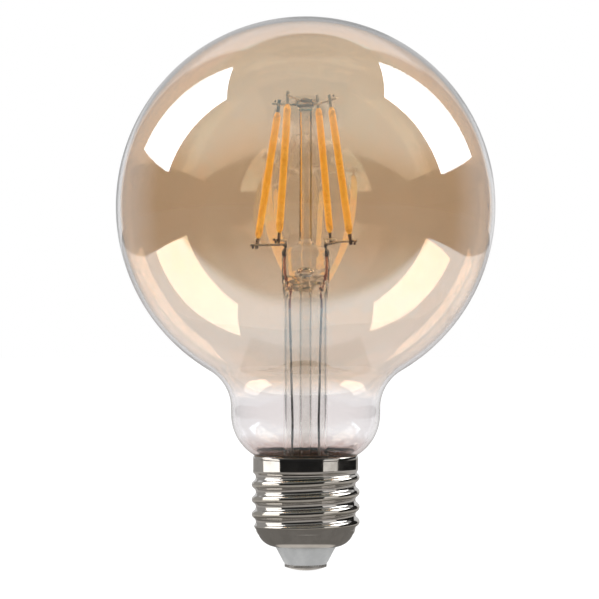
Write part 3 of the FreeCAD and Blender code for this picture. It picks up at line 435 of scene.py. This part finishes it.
mesh = bmesh.new()
spun(mesh, softened(stem_skin), 96)
for vert in mesh.verts:
    r, z = math.hypot(vert.co.x, vert.co.y) / MM, vert.co.z / MM
    flat, shut = jaws(z)
    if z > 62 and r < (5.0 if z < 72.3 else 0.0):
        wide, deep = 1.0, 1 - 0.90 * shut
    else:
        wide, deep = 1 + 0.074 * flat, 1 - 0.60 * flat
    if r > 0:
        square = 2 + 1.5 * flat
        c, s = abs(vert.co.x) / MM / r, abs(vert.co.y) / MM / r
        rounding = (c ** square + s ** square) ** (-1 / square)
        wide, deep = wide * (rounding * 0.25 + 0.75), deep * rounding
    vert.co.x *= wide
    vert.co.y *= deep
    wobble = smooth((z - 66.0) / 2.5) * (1 - 0.75 * smooth((z - 72.5) / 2.0)) * (z < 80) * 0.20
    wave_place = Vector((vert.co.x, vert.co.y, vert.co.z * 1.4)) / (1.5 * MM)
    vert.co += noise.noise_vector(wave_place) * wobble * MM
void = bmesh.new()
spun(void, softened(bore + blow_hole), 48, hollow=True)
for vert in void.verts:
    z = vert.co.z / MM
    vert.co.y *= max(1 - 0.90 * jaws(z)[1], 0.85 * smooth((z - 70.2) / 2.2))
bore_data = bpy.data.meshes.new("bore")
void.to_mesh(bore_data)
void.free()
mesh.from_mesh(bore_data)
pressed = new_piece("pressed_stem", mesh, stem)
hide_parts("stem_tube", "exhaust_tube", "centre_rod")

# %% [markdown]
# A light strip is a row of tiny chips on a glass sliver, dipped in silicone full of orange phosphor. The
# coat is soft, a little glossy and slightly uneven, and darker where the chips sit near the two ends.
# It also gives off a faint glow of its own orange, though the strips are not lit: a painted glow.
# Each strip gets its own material, because its marks follow its own ends.

# %% Light strips
strips = [f"filament_{number}" for number in (1, 2, 3, 4)]
for name in strips:
    low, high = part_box(name)
    # The Emission Strength here is a painted glow, for the strips are not lit.
    coat = Finish("phosphor_" + name, IOR=1.42, Subsurface_Weight=0.25, Subsurface_Scale=0.6 * MM,
                  Subsurface_Radius=(1.0, 0.45, 0.15), Emission_Strength=0.68)
    speckle = coat.grained(900.0, 0.30, 0.48, bump=0.15, depth=0.06 * MM)
    chips = put(coat.tree, "ShaderNodeTexNoise", {"Vector": coat.stretched(1.0, 1.0, 0.5),
                "Scale": 1500.0, "Detail": 2.0}).outputs["Fac"]
    near_ends = maths(coat.tree, "MAXIMUM", fade(coat.tree, coat.z, low.z + 3.6 * MM, low.z + 1.0 * MM),
                      fade(coat.tree, coat.z, high.z - 3.6 * MM, high.z - 1.0 * MM))
    marks = times(coat.tree, near_ends, fade(coat.tree, chips, 0.45, 0.57), 0.9)
    orange_and_painted_glow = mixed(coat.tree, speckle, (0.96, 0.56, 0.10), (0.90, 0.47, 0.065))
    coat.set("Base Color", mixed(coat.tree, marks, orange_and_painted_glow, (0.38, 0.15, 0.05)))
    # Painted glow: the coat gives off its own orange, though the strip is not lit.
    coat.set("Emission Color", orange_and_painted_glow)
    coat.on(name)
    print(f"{name}: {(high - low).length * 1000:.1f} mm from end to end")

# %% [markdown]
# The wires are drawn through a die, which leaves fine lines along them. The lines are the grain group
# again, on coordinates squeezed along Z. Heat darkened each wire where it was melted into glass, so the
# tone changes with the distance from there.

# %% Wires and tabs
def drawn_wire(name, bright, dark, darkness, roughness=(0.22, 0.45)):
    """A drawn metal. darkness takes the finish and gives where the wire is dark, from 0 to 1."""
    wire = Finish(name, Metallic=1.0)
    lines = wire.grained(1100.0, *roughness, bump=0.25, depth=0.03 * MM,
                         vector=wire.stretched(1.0, 1.0, 0.12))
    shade = maths(wire.tree, "MAXIMUM", times(wire.tree, lines, 0.25), darkness(wire))
    wire.set("Base Color", mixed(wire.tree, shade, bright, dark))
    return wire


support = drawn_wire("support_wire", (0.92, 0.82, 0.70), (0.55, 0.46, 0.38),
                     lambda w: fade(w.tree, w.radius, 4.2 * MM, 3.0 * MM))
support.on("top_support_wire_a", "top_support_wire_b")
lead = drawn_wire("lead_wire", (0.94, 0.88, 0.76), (0.14, 0.12, 0.11),
                  lambda w: fade(w.tree, w.z, 80.9 * MM, 79.0 * MM))
lead.on("lead_left_long", "lead_left_short", "lead_right_long", "lead_right_short")
outer = drawn_wire("outer_lead", (0.46, 0.47, 0.50), (0.16, 0.17, 0.20),
                   lambda w: fade(w.tree, w.z, 62 * MM, 66 * MM))
outer.on("outer_lead_left", "outer_lead_right", "neutral_wire")
copper = drawn_wire("copper_wire", (0.92, 0.45, 0.28), (0.36, 0.13, 0.08),
                    lambda w: maths(w.tree, "MAXIMUM", fade(w.tree, w.z, 75.5 * MM, 77 * MM),
                                    fade(w.tree, w.z, 73.5 * MM, 71.5 * MM)))
copper.on("seal_wire_left", "seal_wire_right")
tab = drawn_wire("tab_metal", (0.74, 0.68, 0.60), (0.26, 0.21, 0.18),
                 lambda w: fade(w.tree, w.z, 90 * MM, 84 * MM), roughness=(0.25, 0.5))
tabs = [f"{name}_{end}_tab" for name in strips for end in ("bottom", "top")]
tab.on(*tabs)

# %% [markdown]
# The screw shell is rolled from thin nickel-plated brass. Plating is nearly a mirror, with faint lines
# round the shell where the rollers ran, dull patches where it was handled, and a yellower tone where
# the plating is thin on the crests. The lines are a pattern stretched round the axis: it is made from
# the radius and the height, with only a little of X, so it changes slowly on the way round.

# %% Cap metal
cap = Finish("cap_metal", Metallic=1.0)
ring = put(cap.tree, "ShaderNodeCombineXYZ", {0: cap.radius, 1: times(cap.tree, cap.x, 0.02),
           2: cap.z}).outputs[0]
worn = cap.grained(260.0, 0.05, 0.12)
roller_lines = put(cap.tree, "ShaderNodeTexNoise", {"Vector": ring, "Scale": 2600.0,
                   "Detail": 3.0}).outputs["Fac"]
cap.set("Normal", put(cap.tree, "ShaderNodeBump", {"Height": roller_lines, "Strength": 0.06,
        "Distance": 0.02 * MM}).outputs[0])
crest = times(cap.tree, fade(cap.tree, cap.radius, 12.7 * MM, 13.2 * MM), 0.35)
plating = mixed(cap.tree, worn, (0.80, 0.775, 0.745), (0.72, 0.695, 0.665))
cap.set("Base Color", mixed(cap.tree, crest, plating, (0.80, 0.74, 0.62)))
print("the plating is yellower beyond 12.7 mm from the axis")

# %% [markdown]
# The shell starts as a plain cup. It is set on a threaded mandrel and a roller presses the thread into it
# from outside, so the sheet is as thick in the thread as in the skirt and both faces carry the same
# wave. The piece is made that way too: the section of the cup is spun once round the axis, and then
# every point is pushed out by a wave that winds round one pitch higher in each turn and fades at both
# ends. The wave is made of arcs that meet on the flanks, as the thread's standard draws it. The sheet is
# finer than the CAD shell, since its mirror finish shows every facet.

# %% Screw shell
THREAD_PITCH = 3.629
SHELL_WALL = 0.3


def thread_swell(angle, height):
    """How far the roller pushed the wall out at an angle and a height, in mm."""
    turns = (height - 11.7) / THREAD_PITCH - angle / math.tau
    from_crest = abs(turns - round(turns)) * THREAD_PITCH
    bend = (THREAD_PITCH ** 2 / 4 + 1) / 4
    if from_crest < THREAD_PITCH / 4:
        wave = 1 - bend + math.sqrt(bend ** 2 - from_crest ** 2)
    else:
        wave = bend - math.sqrt(bend ** 2 - (THREAD_PITCH / 2 - from_crest) ** 2)
    present = smooth((height - 9.7) / 1.6) * smooth((24.6 - height) / 1.6)
    step = smooth((height - 24.6) / 1.4 + 1)
    return wave * present + 0.66 * step - 0.25 * smooth((9.3 - height) / 0.8)


def cup_section():
    """The wall of the plain cup as a closed loop of radius and height, in mm."""
    outside = [(6.4 + 1.1 * i / 3, 5.7) for i in range(3)]
    outside += [(7.5 + 4.7 * math.sin(t), 10.4 - 4.7 * math.cos(t)) for t in
                (math.pi / 2 * i / 16 for i in range(17))]
    outside += [(12.2, 10.4 + 16.6 * i / 110) for i in range(1, 111)]
    lean = [(max(1.0, math.hypot(r - 7.5, z - 10.4)), r, z) for r, z in outside]
    inside = [(r, z + SHELL_WALL) if r <= 7.5 else
              (r - SHELL_WALL * (r - 7.5) / d, z - SHELL_WALL * (z - 10.4) / d) if z < 10.4 else
              (r - SHELL_WALL, z) for d, r, z in lean]
    rim = [(12.2 - 0.26 * (1 - math.cos(t)), 27.0 + 0.9 * math.sin(t)) for t in
           (math.pi / 2 * i / 10 for i in range(1, 11))]
    return outside + rim + [(12.2 - SHELL_WALL, 27.84)] + inside[::-1]


mesh = bmesh.new()
spun(mesh, cup_section(), 240, closed=True)
for vert in mesh.verts:
    outward = Vector((vert.co.x, vert.co.y, 0)).normalized()
    vert.co += outward * thread_swell(math.atan2(vert.co.y, vert.co.x), vert.co.z / MM) * MM
shell = new_piece("shell_sheet", mesh, cap)
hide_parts("screw_shell")

# %% [markdown]
# The contact is a small stamped disc of the same metal, scratched by handling. The insulator round it is
# fired white glass filler or ceramic: matte, with faint grey clouds. The cement that holds the neck in
# the shell is a baked tan paste with grains in it.

# %% Contact, insulator and cement
contact = Finish("contact_metal", Metallic=1.0)
scratch = contact.grained(500.0, 0.16, 0.34, bump=0.15, depth=0.05 * MM,
                          vector=contact.stretched(1.0, 0.25, 1.0))
contact.set("Base Color", mixed(contact.tree, scratch, (0.78, 0.77, 0.75), (0.62, 0.61, 0.60)))
contact.on("centre_contact")

ceramic = Finish("insulator", IOR=1.5)
clouds = ceramic.grained(220.0, 0.42, 0.60, bump=0.12, depth=0.08 * MM)
ceramic.set("Base Color", mixed(ceramic.tree, clouds, (0.72, 0.73, 0.73), (0.60, 0.61, 0.61)))
ceramic.on("cap_insulator")

cement = Finish("capping_cement")
grains = cement.grained(900.0, 0.75, 0.95, bump=0.6, depth=0.1 * MM)
cement.set("Base Color", mixed(cement.tree, grains, (0.62, 0.52, 0.40), (0.46, 0.37, 0.28)))
cement.on("capping_cement")

# %% [markdown]
# The driver inside the cap is never seen from outside, but the part is also used cut open. The board
# shows the weave of its glass cloth under green lacquer. Two crossed waves, one along each thread, make
# the weave. The moulded cases are dull black with fine grit, and the capacitor is a drawn can.

# %% Driver parts
board = Finish("board", Coat_Weight=0.3)
threads = [put(board.tree, "ShaderNodeTexWave", {"Vector": board.place, "Scale": 700.0,
               "Distortion": 0.6}, bands_direction=way).outputs["Fac"] for way in ("X", "Z")]
weave = times(board.tree, *threads)
board.grained(300.0, 0.30, 0.42)
board.set("Base Color", mixed(board.tree, weave, (0.05, 0.20, 0.09), (0.09, 0.32, 0.15)))
board.set("Normal", put(board.tree, "ShaderNodeBump", {"Height": weave, "Strength": 0.3,
          "Distance": 0.03 * MM}).outputs[0])
board.on("driver_board")

moulded = Finish("component_case")
grit = moulded.grained(1500.0, 0.45, 0.70, bump=0.35, depth=0.03 * MM)
moulded.set("Base Color", mixed(moulded.tree, grit, (0.030, 0.030, 0.034), (0.055, 0.055, 0.060)))
moulded.on("bridge_rectifier", "driver_chip", "chip_resistor_1", "chip_resistor_2")

can = Finish("capacitor_can", Metallic=1.0)
draw_marks = can.grained(700.0, 0.22, 0.40, bump=0.2, depth=0.03 * MM,
                         vector=can.stretched(1.0, 1.0, 0.1))
can.set("Base Color", mixed(can.tree, draw_marks, (0.72, 0.73, 0.75), (0.58, 0.59, 0.61)))
can.on("smoothing_capacitor")

lacquer = Finish("fuse_resistor", Coat_Weight=0.4)
ripple = lacquer.grained(600.0, 0.28, 0.45, bump=0.25, depth=0.05 * MM)
lacquer.set("Base Color", mixed(lacquer.tree, ripple, (0.22, 0.38, 0.50), (0.16, 0.29, 0.40)))
lacquer.on("fuse_resistor")

# %% [markdown]
# Each strip's metal tab is welded to its wire with a touch of heat, which leaves a small uneven bead.
# A bead is a fine icosphere squeezed a little and pushed about by noise. Its place is found, not
# typed: it is midway between the two nearest points of the tab and of the wire that it joins.

# %% Weld beads
def nearest_gap(first, second):
    """The middle of the shortest line between two CAD nodes."""
    points = [v.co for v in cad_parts[second].data.vertices]
    tree = kdtree.KDTree(len(points))
    for number, point in enumerate(points):
        tree.insert(point, number)
    tree.balance()
    found = [(tree.find(v.co), v.co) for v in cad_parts[first].data.vertices]
    (point, _, distance), start = min(found, key=lambda pair: pair[0][2])
    return (point + start) / 2, distance


def bead(name, centre, radius, stretch, finish):
    mesh = bmesh.new()
    bmesh.ops.create_icosphere(mesh, subdivisions=3, radius=radius)
    bmesh.ops.scale(mesh, verts=mesh.verts, vec=(1.0, 1.0, stretch))
    for vert in mesh.verts:
        vert.co += vert.normal * noise.noise(vert.co / radius + centre * 900) * radius * 0.18
    bmesh.ops.translate(mesh, verts=mesh.verts, vec=centre)
    return new_piece(name, mesh, finish)


weld = drawn_wire("weld_metal", (0.62, 0.53, 0.45), (0.20, 0.16, 0.14),
                  lambda w: fade(w.tree, w.z, 92 * MM, 84 * MM), roughness=(0.3, 0.55))
top_wires = ("top_support_wire_a", "top_support_wire_b")
leads = ("lead_left_long", "lead_left_short", "lead_right_short", "lead_right_long")
for number, lead_name in enumerate(leads, 1):
    place, gap = nearest_gap(f"filament_{number}_bottom_tab", lead_name)
    bead(f"weld_{number}_bottom", place, 0.30 * MM, 1.3, weld)
    top_name = min(top_wires, key=lambda wire: nearest_gap(f"filament_{number}_top_tab", wire)[1])
    top_place, top_gap = nearest_gap(f"filament_{number}_top_tab", top_name)
    bead(f"weld_{number}_top", top_place, 0.26 * MM, 1.2, weld)
    print(f"strip {number}: tab to lead {gap * 1000:.2f} mm, to {top_name} {top_gap * 1000:.2f} mm")

# %% [markdown]
# At the top of each copper seal wire the lead was butt-welded on, and the weld shows through the press
# as a dark bead. It is the same bead again, darker and a little larger.

# %% Seal beads
seal_weld = drawn_wire("seal_weld", (0.16, 0.12, 0.11), (0.06, 0.05, 0.05),
                       lambda w: fade(w.tree, w.z, 76 * MM, 78 * MM), roughness=(0.35, 0.6))
for side in ("left", "right"):
    low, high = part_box("seal_wire_" + side)
    outmost = low.x + 0.3 * MM if side == "left" else high.x - 0.3 * MM
    top = Vector((outmost, (low.y + high.y) / 2, high.z - 0.3 * MM))
    bead("seal_bead_" + side, top, 0.42 * MM, 1.6, seal_weld)
    print(f"seal wire {side} ends {high.z * 1000:.1f} mm up, at x {top.x * 1000:.1f} mm")

# %% [markdown]
# The bulb stands on a white table in front of a white backdrop. Glass and metal see the table only where
# it is: its front edge is just in front of the bulb, it widens towards the backdrop, and under the bulb
# a painted shadow of the bulb makes it dark. These are masks over one large sheet, from 0 to 1.

# %% Lit part of the table
white = Finish("white_table", Specular_IOR_Level=0.0)
paper = white.grained(14.0, 0.85, 0.95)
across = maths(white.tree, "ABSOLUTE", white.x)
behind = maths(white.tree, "MAXIMUM", maths(white.tree, "SUBTRACT", white.y, 0.17), 0.0)
half_width = maths(white.tree, "MULTIPLY_ADD", behind, 0.35, 0.33)
past_side = maths(white.tree, "SUBTRACT", across, half_width)
on_table = times(white.tree, fade(white.tree, white.y, -88 * MM, -60 * MM),
                 fade(white.tree, past_side, 5 * MM, -5 * MM))
# The patch under the bulb is a painted shadow of the bulb, seen only in glass and metal.
painted_bulb_shadow = times(white.tree, fade(white.tree, across, 38 * MM, 36 * MM), times(
    white.tree, fade(white.tree, white.y, -24 * MM, -22 * MM), fade(white.tree, white.y, 42 * MM, 38 * MM)))
bearing = times(white.tree, maths(white.tree, "ARCTAN2", across, times(white.tree, white.y, -1.0)),
                180 / math.pi)
away = put(white.tree, "ShaderNodeVectorMath", {0: white.place}, operation="LENGTH").outputs["Value"]
print("the lit table is 660 mm wide at the bulb")

# %% [markdown]
# A white picture comes from the table's own colour, not from more light on the bulb: for the camera it
# gives off almost white, and the rest is light that the lamps add, so it keeps a faint shadow. What the
# cap and the outside of the glass mirror is a little different from what is seen through the glass, so
# each has its own brightness here: on the lit part, off it at the sides, and in the shade near the bulb.

# %% What each ray sees of the table
ray = put(white.tree, "ShaderNodeLightPath")
glossy, through_glass = ray.outputs["Is Glossy Ray"], ray.outputs["Is Transmission Ray"]
any_mirror = maths(white.tree, "MAXIMUM", glossy, through_glass)
# Painted shadow under the bulb: mirrors see the patch as unlit, and glass lets three quarters of it
# through.
painted_shadow_dimming = times(white.tree, painted_bulb_shadow, maths(white.tree, "MULTIPLY_ADD", through_glass, 0.75, -1.0))
lit = times(white.tree, on_table, maths(white.tree, "ADD", painted_shadow_dimming, 1.0))
on_lit = maths(white.tree, "MULTIPLY_ADD", through_glass, 0.58, times(white.tree, any_mirror, 0.20))
off_table = times(white.tree, fade(white.tree, bearing, 90.0, 130.0),
                  maths(white.tree, "MULTIPLY_ADD", on_table, -0.32, 0.32))
near = maths(white.tree, "MULTIPLY_ADD", fade(white.tree, away, 11 * MM, 9 * MM), 2.5,
             fade(white.tree, away, 260 * MM, 120 * MM))
shade = times(white.tree, near, maths(white.tree, "MULTIPLY_ADD", through_glass, -0.12, 0.16))
unlit = maths(white.tree, "MAXIMUM", off_table,
              maths(white.tree, "MULTIPLY_ADD", through_glass, 0.035, shade))
seen = maths(white.tree, "MULTIPLY_ADD", lit, on_lit, times(
    white.tree, any_mirror, times(white.tree, unlit, rest_of(white.tree, lit))))
scattered = times(white.tree, ray.outputs["Is Diffuse Ray"], 0.5)
white.set("Emission Strength", maths(white.tree, "MULTIPLY_ADD", ray.outputs["Is Camera Ray"], 0.96,
                                     maths(white.tree, "ADD", seen, scattered)))
outside = maths(white.tree, "SUBTRACT", glossy, through_glass)
white.set("Emission Color", mixed(white.tree, outside, (1.0, 1.0, 1.0), (1.0, 0.94, 0.87)))
pale = mixed(white.tree, paper, (0.155, 0.155, 0.155), (0.145, 0.145, 0.145))
white.set("Base Color", mixed(white.tree, times(white.tree, any_mirror, rest_of(white.tree, lit)), pale,
                              (0.012, 0.012, 0.012)))
print("white_table has", len(white.tree.nodes), "nodes")

# %% [markdown]
# The sheet itself is one large face, a hair below the contact. Like everything round the bulb, it is
# not attached to the bulb as its pieces are.

# %% Table
def stage_sheet(name, mesh, finish):
    data = bpy.data.meshes.new(name)
    mesh.to_mesh(data)
    mesh.free()
    data.materials.append(finish.material)
    sheet = bpy.data.objects.new(name, data)
    bpy.context.scene.collection.objects.link(sheet)
    return sheet


mesh = bmesh.new()
bmesh.ops.create_grid(mesh, x_segments=1, y_segments=1, size=4.0,
                      matrix=Matrix.Translation((0, 1.0, -0.0002)))
table = stage_sheet("table", mesh, white)
print(f"the table sheet is {table.dimensions.x:.0f} m wide")

# %% [markdown]
# The cap is a mirror that stands upright, so it shows what stands low in the room. A white card at the
# left gives its bright side, a narrow grey one at the right the stripe, and a black one beyond it the
# dark edge. Each is a bent strip a quarter of a metre away that leans over the table, with a collar above
# it, and both face down to the cap. The globe looks at their backs, which are clear, so only the cap
# mirrors them.

# %% Cards
CARD_STRIP = ((0.10, 0.024), (0.25, 0.0))
CARD_COLLAR = ((0.045, 0.0385), (0.25, 0.040))


def card_mesh(start, end):
    """Two strips, each spun from its near and far edge, given as distance and height in metres."""
    mesh = bmesh.new()
    turn = Matrix.Rotation(math.radians(start - 90), 3, "Z")
    for near, far in (CARD_STRIP, CARD_COLLAR):
        line = [mesh.verts.new(turn @ Vector((r, 0, z))) for r, z in (near, far)]
        bmesh.ops.spin(mesh, geom=line + [mesh.edges.new(line)], cent=(0, 0, 0), axis=(0, 0, 1),
                       angle=math.radians(end - start), steps=12)
    mesh.normal_update()
    bmesh.ops.reverse_faces(mesh, faces=[face for face in mesh.faces if face.normal.z > 0])
    return mesh


def card(name, start, end, brightness):
    """A card from one bearing to another, in degrees from the front, negative to the left."""
    finish = Finish(name, Base_Color=(0.0, 0.0, 0.0), Specular_IOR_Level=0.0, Emission_Strength=brightness)
    paper = finish.grained(30.0, 0.8, 0.95)
    finish.set("Emission Color", mixed(finish.tree, paper, (1.0, 0.97, 0.93), (0.94, 0.91, 0.88)))
    back = put(finish.tree, "ShaderNodeNewGeometry").outputs["Backfacing"]
    clear = put(finish.tree, "ShaderNodeBsdfTransparent").outputs[0]
    both = put(finish.tree, "ShaderNodeMixShader", {0: back, 1: finish.shader.outputs[0], 2: clear})
    finish.tree.links.new(both.outputs[0], finish.surface)
    sheet = stage_sheet(name, card_mesh(start, end), finish)
    for way in ("camera", "diffuse", "transmission", "shadow"):
        setattr(sheet, "visible_" + way, False)
    print(f"{name}: {end - start} degrees wide, brightness {brightness}")


card("card_left", -102, -56, 1.50)
card("card_grey", -150, -102, 0.32)
card("card_right", 37, 71, 0.76)
card("card_black", 71, 142, 0.012)

# %% [markdown]
# Two large soft boxes stand a little behind the bulb, one at each side and above it. They are what the
# two bright windows on the globe show. A box is an area lamp: its power is its brightness times its area
# times pi. They are hidden from the camera but not from the glass.

# %% Soft boxes
def soft_box(name, centre, faces, up, width, height, brightness):
    lamp = bpy.data.lights.new(name, "AREA")
    lamp.shape = "RECTANGLE"
    lamp.size = width
    lamp.size_y = height
    lamp.energy = brightness * math.pi * width * height
    box = bpy.data.objects.new(name, lamp)
    back = -Vector(faces).normalized()
    side = Vector(up).cross(back).normalized()
    turn = Matrix((side, back.cross(side), back)).transposed().to_4x4()
    box.matrix_world = Matrix.Translation(centre) @ turn
    box.visible_camera = False
    bpy.context.scene.collection.objects.link(box)
    print(f"{name}: {lamp.energy:.2f} W")
    return box


BOX_BRIGHTNESS = 4.3
soft_box("soft_box_left", (-0.460, 0.084, 0.496), (0.889, -0.346, -0.302), (0.234, -0.224, 0.946),
         0.304, 0.512, BOX_BRIGHTNESS)
soft_box("soft_box_right", (0.463, 0.104, 0.487), (-0.881, -0.334, -0.336), (-0.292, -0.178, 0.940),
         0.353, 0.524, BOX_BRIGHTNESS)

# %% [markdown]
# The rest of the room is the world, drawn by direction. Its parts are easiest to place in degrees: how
# far beside straight back, above the horizon, over the top from the front, out to the sides, and round
# from the front.

# %% Directions in the room
world = bpy.data.worlds.new("studio")
bpy.context.scene.world = world
world.use_nodes = True
room = world.node_tree
way = put(room, "ShaderNodeSeparateXYZ", {0: put(room, "ShaderNodeTexCoord").outputs["Generated"]})
x, y, z = way.outputs
to_front = times(room, y, -1.0)
aside = maths(room, "ABSOLUTE", x)


def degrees(value):
    return times(room, value, 180 / math.pi)


beside = maths(room, "ABSOLUTE", degrees(maths(room, "ARCTAN2", x, y)))
above = degrees(maths(room, "ARCSINE", z))
over = degrees(maths(room, "ARCTAN2", z, to_front))
sideways = degrees(maths(room, "ARCSINE", aside))
from_front = degrees(maths(room, "ARCTAN2", aside, to_front))
print("five angles place the parts of the room")

# %% [markdown]
# A tall backdrop stands behind the bulb. It is white low down, grey in a band above that, which draws the
# rim of the globe, and white again at its top. A pale ceiling reaches over the bulb, dim walls stand
# behind at both sides, and in front, where the photographer stands, it is dark.

# %% Backdrop, ceiling and walls
DARK_ROOM = 0.015
backdrop = times(room, fade(room, beside, 35.0, 31.0), fade(room, above, 58.0, 54.5))
band = times(room, fade(room, above, 9.0, 17.0), 0.55)
backdrop_light = maths(room, "SUBTRACT", maths(
    room, "MULTIPLY_ADD", fade(room, above, 31.0, 36.0), 0.30, 1.0), band)
ceiling = times(room, fade(room, over, 20.0, 62.0), fade(room, over, 126.0, 121.0),
                fade(room, sideways, 75.0, 55.0))
ceiling_light = maths(room, "MULTIPLY_ADD", fade(room, over, 80.0, 120.0), -0.05, 0.34)
walls = times(room, fade(room, from_front, 95.0, 130.0), 0.32,
              times(room, fade(room, above, 60.0, 52.0), fade(room, beside, 29.0, 35.0)))
print("the backdrop is 62 degrees wide and 55 high")

# %% [markdown]
# What mirrors in the very outside of the globe and in the cap is dimmer than what is seen through the
# glass, and the film gives the ceiling's image a cool tone. The camera sees plain white instead, and
# surfaces that scatter light get an even fill.

# %% What each ray sees of the room
ray = put(room, "ShaderNodeLightPath")
through_glass = ray.outputs["Is Transmission Ray"]
outside = maths(room, "SUBTRACT", ray.outputs["Is Glossy Ray"], through_glass)
backdrop_light = put(room, "ShaderNodeMix", {0: outside, 2: backdrop_light, 3: 0.60}).outputs[0]
ceiling_light = times(room, ceiling_light, maths(room, "MULTIPLY_ADD", outside, -0.4, 1.0))
light = maths(room, "MAXIMUM", times(room, backdrop, backdrop_light), times(room, ceiling, ceiling_light))
light = maths(room, "MAXIMUM", light, maths(room, "MAXIMUM", walls, DARK_ROOM))
mirrored = maths(room, "MAXIMUM", ray.outputs["Is Glossy Ray"], through_glass)
strength = put(room, "ShaderNodeMix", {0: mirrored, 2: 0.8, 3: light}).outputs[0]
strength = put(room, "ShaderNodeMix", {0: ray.outputs["Is Camera Ray"], 2: strength, 3: 1.0}).outputs[0]
background = room.nodes["Background"]
room.links.new(strength, background.inputs["Strength"])
room.links.new(mixed(room, times(room, ceiling, through_glass), (1.0, 1.0, 1.0), (0.58, 0.97, 1.0)),
               background.inputs["Color"])
print("the room has", len(room.nodes), "nodes")

# %% [markdown]
# Light crosses many faces of glass here, so it needs many bounces. The plain view transform keeps the
# white of the backdrop white.

# %% View and bounces
scene = bpy.context.scene
scene.view_settings.view_transform = "Standard"
scene.cycles.max_bounces = 64
scene.cycles.transmission_bounces = 64
scene.cycles.transparent_max_bounces = 64
print("light may bounce", scene.cycles.max_bounces, "times")
